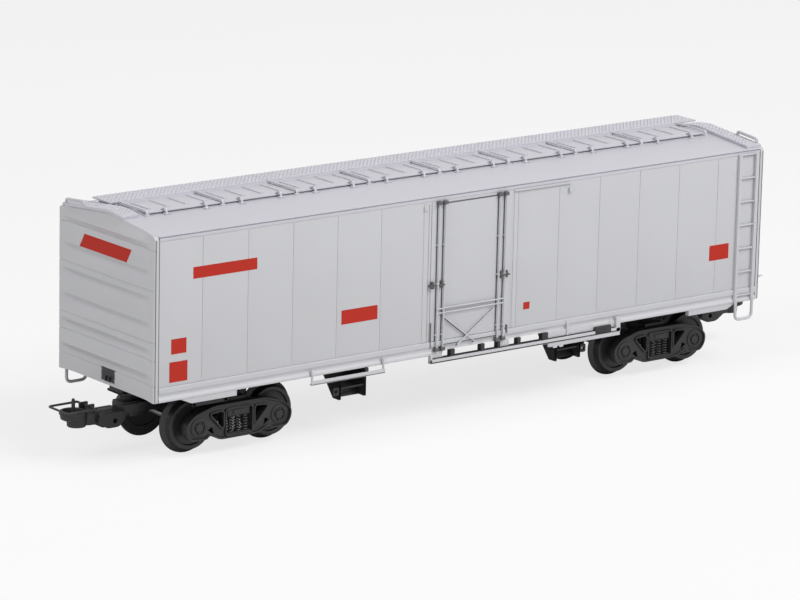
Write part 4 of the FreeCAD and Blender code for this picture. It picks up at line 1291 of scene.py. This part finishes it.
# The rungs are painted mid grey for the shade that falls under them.
rung = bmesh.new()
pipe(rung, [(ladder_low.x + 0.2, 0, 0), (ladder_high.x - 0.2, 0, 0)], RUNG_RADIUS)
rungs = row(
    "ladder_rungs", to_object("rung_unit", rung, painted_shade_mid_plastic), RUNGS,
    (0, SIDE_Y - 0.36, RUNG_START), (0, 0, RUNG_STEP), painted_shade_mid_plastic,
)
both_ways(
    "front_side_ladder",
    joined("front_side_ladder", [to_object("ladder_stiles", ladder, silver_plastic), rungs]),
    "car_body", slot_of["front_ladder"], "front_ladder",
)

step_low, step_high = span("front_step")
STEP_RADIUS = 0.34
step_y = (step_low.y + step_high.y) / 2
step_left = step_low.x + STEP_RADIUS
step_right = step_high.x - STEP_RADIUS
step_foot = step_low.z + STEP_RADIUS
step_top = step_high.z + 0.4
stirrup = bmesh.new()
pipe(stirrup, rounded([
    (step_left, step_y, step_top), (step_left, step_y, step_foot),
    (step_right, step_y, step_foot), (step_right, step_y, step_top),
], 1.3, 6), STEP_RADIUS, 12)
make_both("front_stirrup", stirrup, silver_plastic, "front_step")

# %% [markdown]
# ## Marking plates
# Painted panels on a wagon hold its numbers and notices.  They're kept here as plain
# red panels, because a reusable part carries nobody's lettering.

# %% Blank red plates
PLATE_LIFT = 0.03
SIDE_PLATES = (
    (-71.6, -55.9, 39.0, 41.4), (-76.8, -73.1, 24.1, 27.2), (-77.2, -72.8, 18.3, 22.5),
    (-34.4, -25.1, 24.4, 27.4), (13.8, 15.5, 21.1, 22.65), (66.0, 71.6, 24.9, 28.3),
)
plates = bmesh.new()
for start, end, low, high in SIDE_PLATES:
    slab(plates, (start, SIDE_Y - PLATE_LIFT, low), (end, SIDE_Y + 0.05, high), 0.0)
make_both("front_marking_plates", plates, label_red, slot="silver_plastic")

END_PLATE_HALF = 8.45
END_PLATE_LOW = 41.85
END_PLATE_HIGH = 44.3
rows_between = [height for height in heights if END_PLATE_LOW < height < END_PLATE_HIGH]
plate_lines = [END_PLATE_LOW, *rows_between, END_PLATE_HIGH]
plate_columns = [END_PLATE_HALF * (at / 8 - 1) for at in range(17)]
end_plate = bmesh.new()
patches = []
for lift in (PLATE_LIFT, -0.2):
    patch = {}
    for column, across in enumerate(plate_columns):
        for line, height in enumerate(plate_lines):
            patch[column, line] = end_plate.verts.new(end_point(across, height, lift))
    patches.append(patch)
for patch in patches:
    for column in range(len(plate_columns) - 1):
        for line in range(len(plate_lines) - 1):
            quad(end_plate, patch, column, line)
wall_up(end_plate, *patches)
make_both("left_marking_plate", end_plate, label_red, slot="silver_plastic")

# %% [markdown]
# ## The bogies
# Each bogie has two cast side frames with windows that show the springs, a bolster
# across, and a round bearing cap at each axle end.  Castings have raised rims round
# their windows, so each side frame is a plate with holes and a second, thinner plate
# of rims on its face.

# %% Plates with holes
def plate(bm, outlines, start, end, edge=0.06):
    """Outlines in X and Z, the inner ones holes, as a plate from one Y to another."""
    curve = bpy.data.curves.new("plate_outline", "CURVE")
    curve.dimensions = "2D"
    curve.fill_mode = "BOTH"
    curve.extrude = abs(end - start) / 2 - edge
    curve.bevel_depth = edge
    curve.bevel_resolution = 1
    curve.offset = -edge
    for outline in outlines:
        spline = curve.splines.new("POLY")
        spline.points.add(len(outline) - 1)
        for point, (across, up) in zip(spline.points, outline):
            point.co = (across, up, 0, 1)
        spline.use_cyclic_u = True
    holder = bpy.data.objects.new("plate_outline", curve)
    mesh = bpy.data.meshes.new_from_object(holder)
    mesh.transform(Matrix.Translation((0, (start + end) / 2, 0)) @ Matrix.Rotation(math.pi / 2, 4, "X"))
    before = len(bm.verts)
    bm.from_mesh(mesh)
    added = list(bm.verts)[before:]
    bmesh.ops.remove_doubles(bm, verts=added, dist=0.0005)
    bpy.data.objects.remove(holder)
    bpy.data.meshes.remove(mesh)


def grown(outline, by):
    """The same outline moved outward all round, or inward by a negative amount."""
    points = [Vector(point) for point in outline]
    area = sum(a.x * b.y - b.x * a.y for a, b in zip(points, points[1:] + points[:1]))
    turn = 1 if area > 0 else -1
    moved = []
    for at, point in enumerate(points):
        arriving = (point - points[at - 1]).normalized()
        leaving = (points[(at + 1) % len(points)] - point).normalized()
        first = Vector((arriving.y, -arriving.x)) * turn
        second = Vector((leaving.y, -leaving.x)) * turn
        middle = (first + second).normalized()
        moved.append(point + middle * by / max(0.5, middle.dot(first)))
    return [(point.x, point.y) for point in moved]


def curved(outline, radius, steps=3):
    """The same outline with each corner rounded off."""
    count = len(outline)
    made = []
    for at, corner in enumerate(outline):
        corner = Vector(corner)
        before = Vector(outline[at - 1])
        after = Vector(outline[(at + 1) % count])
        reach = min(radius, (before - corner).length / 2.2, (after - corner).length / 2.2)
        start = corner + (before - corner).normalized() * reach
        end = corner + (after - corner).normalized() * reach
        for step in range(steps + 1):
            share = step / steps
            made.append(tuple(start.lerp(corner, share).lerp(corner.lerp(end, share), share)))
    return made


# %% Side frames
bogie_low, bogie_high = span("left_bogie_frame")
axle_low, axle_high = span("left_outer_axle")
inner_low, inner_high = span("left_inner_axle")
AXLE_Z = (axle_low.z + axle_high.z) / 2
BOGIE_X = (bogie_low.x + bogie_high.x) / 2
HALF_BASE = (inner_low.x + inner_high.x) / 2 - BOGIE_X
SIDE_DEEP = 2.1
RIM_TALL = 0.35
RIM_WIDE = 0.36
FRAME_FACE = bogie_low.y
FRAME_BACK = FRAME_FACE + SIDE_DEEP


def mirrored(half):
    """A right half, carried on round its left half."""
    return half + [(-across, up) for across, up in reversed(half)]


def at_bogie(outline):
    return [(BOGIE_X + across, up) for across, up in outline]


side_outline = curved(mirrored([
    (6.4, 10.4), (11.0, 9.1), (13.15, 7.3), (13.15, 5.3), (11.9, 3.55), (8.1, 3.55),
    (7.35, 4.3), (4.8, 3.05),
]), 0.9)
spring_window = curved([(-3.15, 3.85), (3.15, 3.85), (3.15, 9.1), (-3.15, 9.1)], 0.35)
side_windows = [
    curved([(sign * 4.0, 9.0), (sign * 7.2, 8.7), (sign * 4.0, 5.3)], 0.7) for sign in (-1, 1)
]
corner_holes = [
    curved([(sign * 6.2, 4.35), (sign * 7.7, 5.4), (sign * 6.6, 6.0)], 0.25) for sign in (-1, 1)
]

sides = bmesh.new()
windows = [spring_window, *side_windows, *corner_holes]
for way in (1, -1):
    near, far = sorted((way * (FRAME_FACE + RIM_TALL), way * FRAME_BACK))
    outlines = [at_bogie(side_outline), *[at_bogie(hole) for hole in windows]]
    plate(sides, outlines, near, far, 0.08)
for way in (1, -1):
    near, far = sorted((way * FRAME_FACE, way * (FRAME_FACE + RIM_TALL + 0.05)))
    plate(sides, [at_bogie(side_outline), at_bogie(grown(side_outline, -RIM_WIDE))], near, far)
    for hole in (spring_window, *side_windows):
        plate(sides, [at_bogie(grown(hole, RIM_WIDE)), at_bogie(hole)], near, far)

CAP_RINGS = (
    (1.95, 0.0), (1.95, 0.42), (1.75, 0.5), (1.45, 0.5),
    (1.4, 0.28), (0.95, 0.28), (0.85, 0.58), (0.3, 0.6),
)
CAP_BOLTS = 3
CAP_BOLT_CIRCLE = 1.17
BOLT_RINGS = ((0.2, 0.2), (0.2, 0.5), (0.1, 0.55))
for sign in (-1, 1):
    axle_x = BOGIE_X + sign * HALF_BASE
    for way in (-1, 1):
        start = -way * (FRAME_FACE + 0.6)
        rings = [(start + way * out, radius) for radius, out in CAP_RINGS]
        lathe(sides, "Y", (axle_x, 0, AXLE_Z), rings, 28)
        for bolt in range(CAP_BOLTS):
            angle = 2 * math.pi * bolt / CAP_BOLTS + 0.5
            centre = (
                axle_x + CAP_BOLT_CIRCLE * math.cos(angle), 0, AXLE_Z + CAP_BOLT_CIRCLE * math.sin(angle),
            )
            lathe(sides, "Y", centre, [(start + way * out, radius) for radius, out in BOLT_RINGS], 6)

# %% Spring seats: half width, depth behind the face, foot, top and edge
SPRING_SEATS = ((2.75, 0.35, 7.5, 9.3, 0.12), (1.5, 0.15, 7.9, 8.8, 0.12), (3.3, 0.3, 3.7, 4.1, 0.08))
for way in (-1, 1):
    for half, deep, foot, top, edge in SPRING_SEATS:
        slab(
            sides, (BOGIE_X - half, -way * (FRAME_FACE + deep), foot),
            (BOGIE_X + half, -way * FRAME_BACK, top), edge,
        )

# %% Bolster round the pivot, brake beams and shoes
BOLSTER_LOW = 9.0
BOLSTER_HIGH = 11.0
BOLSTER_HALF = 2.9
for sign in (-1, 1):
    slab(
        sides, (BOGIE_X - BOLSTER_HALF, sign * 1.6, BOLSTER_LOW),
        (BOGIE_X + BOLSTER_HALF, sign * (0.1 - FRAME_BACK), BOLSTER_HIGH), 0.2,
    )
for sign in (-1, 1):
    beam_near = BOGIE_X + sign * BOLSTER_HALF
    beam_far = BOGIE_X + sign * 3.5
    slab(sides, (BOGIE_X + sign * 1.45, -1.7, BOLSTER_LOW), (beam_near, 1.7, BOLSTER_HIGH), 0.15)
    for way in (-1, 1):
        slab(
            sides, (BOGIE_X + sign * 3.3, way * 8.5, 5.4), (BOGIE_X + sign * 4.3, way * 9.8, 7.3), 0.12,
        )
    slab(sides, (beam_near, -9.6, 5.9), (beam_far, 9.6, 6.6), 0.1)
    for way in (-1, 1):
        slab(sides, (beam_near, way * 9.0, 6.3), (beam_far, way * 9.5, 9.2), 0.08)
make_both("left_bogie_casting", sides, black_plastic, "left_bogie_frame", body="left_bogie")

# %% Springs in the windows
COIL_RADIUS = 0.62
COIL_WIRE = 0.17
COILS = 6
COIL_PITCH = 0.58
spring_rows = []
for way, middle_y in (("near", FRAME_FACE + 0.95), ("far", -FRAME_FACE - 0.95)):
    for number, offset in enumerate((-1.75, 0.0, 1.75)):
        coil = bmesh.new()
        ring = [(across, up, 0) for across, up in circle(0, 0, COIL_RADIUS)]
        pipe(coil, ring, COIL_WIRE, 6, closed=True)
        spring_rows.append(row(
            f"spring_{way}_{number}", to_object(f"coil_{way}_{number}", coil, black_plastic), COILS,
            (BOGIE_X + offset, middle_y, 4.35), (0, 0, COIL_PITCH), black_plastic,
        ))
both_ways("left_springs", joined("left_springs", spring_rows), "left_bogie", "black_plastic")

# %% [markdown]
# ## Wheels
# A wheel is turned, so one profile spun round its axle gives flange, tread, rim, dished
# web and hub at once.

# %% Wheels and axles
WHEEL_PROFILE = (
    (7.2, 0.75), (7.2, 1.8), (7.42, 1.95), (7.5, 4.1), (7.22, 4.3), (7.2, 5.8), (7.32, 6.15),
    (7.5, 6.28), (7.74, 6.24), (7.92, 5.95), (8.02, 5.55), (8.2, 5.28), (8.45, 5.2), (9.86, 5.16),
    (9.98, 5.04),
    (10.0, 4.5), (9.9, 4.3), (9.5, 4.16), (9.4, 3.9), (9.36, 2.3), (9.5, 1.95), (9.9, 1.8), (10.0, 1.65),
    (10.0, 0.75),
)
AXLE_PROFILE = ((-12.15, 0.4), (-12.0, 0.55), (-10.4, 0.6), (-10.2, 0.78), (-7.0, 0.78), (-6.6, 0.62),
                (6.6, 0.62), (7.0, 0.78), (10.2, 0.78), (10.4, 0.6), (12.0, 0.55), (12.15, 0.4))
for which in ("outer", "inner"):
    spin_low, spin_high = span(f"left_{which}_axle")
    middle = ((spin_low.x + spin_high.x) / 2, 0, AXLE_Z)
    pair = bmesh.new()
    for sign in (-1, 1):
        lathe(pair, "Y", middle, [(sign * along, radius) for along, radius in WHEEL_PROFILE], 56)
    wheelset = f"left_{which}_wheelset"
    wheels_node = f"left_{which}_wheels"
    make_both(f"left_{which}_turned_wheels", pair, wheel_metal, wheels_node, body=wheelset)
    shaft = bmesh.new()
    lathe(shaft, "Y", middle, AXLE_PROFILE, 24)
    axle_node = f"left_{which}_axle"
    make_both(f"left_{which}_turned_axle", shaft, axle_steel, axle_node, body=wheelset)

# %% [markdown]
# ## The couplers
# A model's coupler is its own mechanism, not a copy of the real one: a wire loop drops
# over the other wagon's hook pin, which stands in a round cup.  The arm is fixed to
# the bogie, so the coupler steers with it.

# %% Coupler head and arm
head_low, head_high = span("left_coupler")
loop_low, loop_high = span("left_coupler_loop")
LOOP_Z = (loop_low.z + loop_high.z) / 2
CUP_X = -88.7
CUP_TOP = 10.3
RING_LOW = CUP_TOP - 1.75
CUP_LOW = head_low.z + 0.9
head = bmesh.new()
lathe(head, "Z", (CUP_X, 0, 0), [
    (RING_LOW, 1.0), (RING_LOW, 2.3), (RING_LOW + 0.2, 2.6), (CUP_TOP - 0.7, 2.72),
    (CUP_TOP - 0.6, 2.9), (CUP_TOP - 0.1, 2.9), (CUP_TOP, 2.8), (CUP_TOP, 2.5),
    (CUP_TOP - 0.12, 2.38), (CUP_TOP - 1.3, 2.2), (CUP_TOP - 1.4, 1.0),
], 36)
lathe(head, "Z", (CUP_X + 0.8, 0, 0), [
    (CUP_LOW, 1.2), (CUP_LOW, 1.85), (CUP_LOW + 0.15, 1.98),
    (RING_LOW + 0.1, 2.05), (RING_LOW + 0.1, 1.2),
], 28)
lathe(head, "Z", (CUP_X, 0, 0), [
    (CUP_TOP - 1.7, 0.6), (CUP_TOP - 1.3, 0.6), (CUP_TOP - 1.2, 0.4), (head_high.z - 0.5, 0.38),
    (head_high.z - 0.1, 0.3), (head_high.z, 0.15),
], 16)
prism(head, "Y", curved([
    (-86.6, 7.2), (-84.2, 7.1), (-82.6, 6.15), (-79.4, 6.15),
    (-77.6, 7.3), (-77.6, 9.4), (-84.2, 9.4), (-86.4, 9.8),
], 0.5), -1.6, 1.6, 0.1)
for side_sign in (-1, 1):
    low_y, high_y = sorted((side_sign * 1.5, side_sign * 2.6))
    cheek = curved([
        (-84.4, 7.6), (-82.0, 6.1), (-79.2, 6.1), (-77.6, 7.5), (-77.6, 9.4), (-83.8, 9.4),
    ], 0.7)
    plate(head, [cheek, circle(-80.2, 7.5, 0.5)], low_y, high_y, 0.1)
slab(head, (-77.8, -2.3, 8.4), (head_high.x, 2.3, 10.4), 0.2)
slab(head, (-76.4, -2.0, 7.6), (-71.5, 2.0, 8.6), 0.25)
slab(head, (-77.9, -1.9, 10.2), (-73.6, 1.9, 10.75), 0.15)
for side_sign in (-1, 1):
    slab(head, (-86.5, side_sign * 1.5, 9.3), (-84.5, side_sign * 0.9, LOOP_Z + 0.5), 0.15)
make_both("left_coupler_head", head, black_plastic, "left_coupler", body="left_bogie")

# %% Wire loop
WIRE = 0.24
WIRE_BEND = 0.7
LOOP_PIVOT = -85.5
wire = bmesh.new()
front_x = loop_low.x + WIRE
side_y = loop_high.y - WIRE
path = rounded([
    (LOOP_PIVOT, -side_y, LOOP_Z), (front_x, -side_y, LOOP_Z), (front_x, side_y, LOOP_Z),
    (LOOP_PIVOT, side_y, LOOP_Z),
], WIRE_BEND)
pipe(wire, path, WIRE, 10, closed=True)
make_both("left_wire_loop", wire, black_plastic, "left_coupler_loop", body="left_loop")

# %% [markdown]
# ## Under the floor
# The centre sill, the bolsters over the bogies, the outlets that the load runs out of
# and the brake bars are black mouldings.  Their edges are what shows against the light.

# %% Sill, bolsters and pivots
sill_low, sill_high = span("centre_sill")
SILL_WEBS = 11
SILL_WEB_START = 9
SILL_WEB_STEP = 13.9
under = bmesh.new()
slab(under, sill_low, (sill_high.x, sill_high.y, sill_low.z + 0.5), 0.12)
slab(
    under, (sill_low.x, sill_low.y + 0.8, sill_low.z), (sill_high.x, sill_high.y - 0.8, sill_high.z), 0.1,
)
for at in range(SILL_WEBS):
    middle = sill_low.x + SILL_WEB_START + at * SILL_WEB_STEP
    slab(
        under, (middle - 0.3, sill_low.y + 0.1, sill_low.z),
        (middle + 0.3, sill_high.y - 0.1, sill_high.z), 0.08,
    )
fit(to_object("ribbed_sill", under, black_plastic), "car_body", slot_of["centre_sill"], "centre_sill")

bolster_low, bolster_high = span("left_body_bolster")
beam = bmesh.new()
for sign in (-1, 1):
    tip = sign * bolster_high.y
    root = sign * 2.9
    prism(beam, "X", [
        (root, bolster_low.z), (tip * 0.72, bolster_low.z), (tip, bolster_high.z - 0.9),
        (tip, bolster_high.z), (root, bolster_high.z),
    ], bolster_low.x + 0.6, bolster_high.x - 0.6, 0.12)
    slab(beam, (bolster_low.x, root, bolster_high.z - 0.5), (bolster_high.x, tip, bolster_high.z), 0.1)
make_both("left_tapered_bolster", beam, black_plastic, "left_body_bolster")

bar_low, bar_high = span("front_brake_bar")
bar = bmesh.new()
slab(bar, bar_low, (bar_high.x, bar_high.y, bar_low.z + 0.95), 0.12)
slab(bar, (bar_high.x - 0.9, bar_low.y, bar_low.z), (bar_high.x, bar_high.y, bar_high.z + 0.05), 0.1)
slab(bar, (bar_low.x, bar_low.y, bar_low.z), (bar_low.x + 0.8, bar_high.y, bar_low.z + 1.3), 0.1)
make_both("front_brake_beam", bar, black_plastic, "front_brake_bar")

# %% Outlets
CHUTE_PLATE = 0.6
EAR_HALF = 0.9


def chute(node, ear_sign):
    """Two cheeks, a sloping back, a rim round the mouth and a lug with a hole."""
    low, high = span(node)
    bm = bmesh.new()
    body_low = low.x if ear_sign > 0 else low.x + 1.5
    body_high = high.x if ear_sign < 0 else high.x - 1.5
    outline = [
        (low.y, high.z), (low.y, low.z), (low.y + 2.1, low.z),
        (high.y - 0.05, high.z - 1.0), (high.y, high.z),
    ]
    for start in (body_low, body_high - CHUTE_PLATE):
        prism(bm, "X", outline, start, start + CHUTE_PLATE, 0.08)
        slab(bm, (start, low.y, low.z), (start + CHUTE_PLATE, low.y + 0.35, high.z), 0.06)
    prism(bm, "X", [
        (low.y + 1.6, low.z + 0.1), (low.y + 2.1, low.z + 0.1), (high.y, high.z - 1.0), (high.y, high.z),
        (high.y - CHUTE_PLATE, high.z), (high.y - CHUTE_PLATE, high.z - 1.0),
    ], body_low + 0.1, body_high - 0.1, 0.06)
    for height in (low.z + 2.2, low.z + 4.6):
        slab(
            bm, (body_low + 0.05, low.y + 0.2, height),
            (body_high - 0.05, low.y + 0.7, height + 0.4), 0.05,
        )
    ear_low, ear_high = (body_high - 0.05, high.x) if ear_sign > 0 else (low.x, body_low + 0.05)
    middle_x = (ear_low + ear_high) / 2
    middle_z = low.z + 1.9
    ear_foot = middle_z - EAR_HALF
    ear_top = middle_z + EAR_HALF
    ear = curved([
        (ear_low, ear_foot), (ear_high, ear_foot), (ear_high, ear_top), (ear_low, ear_top),
    ], 0.4)
    plate(bm, [ear, circle(middle_x, middle_z, 0.35)], low.y, low.y + CHUTE_PLATE, 0.05)
    return bm


for place, ear_sign in (("left", -1), ("right", 1)):
    node = f"front_{place}_chute"
    make_both(f"front_{place}_outlet", chute(node, ear_sign), black_plastic, node)

# %% Handbrake shaft
brake_low, brake_high = span("handbrake_shaft")
shaft = bmesh.new()
brake_middle = (0, (brake_low.y + brake_high.y) / 2, (brake_low.z + brake_high.z) / 2)
lathe(shaft, "X", brake_middle, [
    (brake_low.x + 0.05, 0.6), (brake_low.x + 0.5, 0.78), (brake_low.x + 0.62, 0.6),
    (brake_low.x + 0.65, 0.33), (brake_high.x - 0.9, 0.3), (brake_high.x - 0.8, 0.2),
    (brake_high.x, 0.16),
], 20)
fit(
    to_object("handbrake_spindle", shaft, silver_plastic),
    "car_body", slot_of["handbrake_shaft"], "handbrake_shaft",
)

# %% Overall bounds
bpy.context.view_layer.update()
low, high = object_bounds()
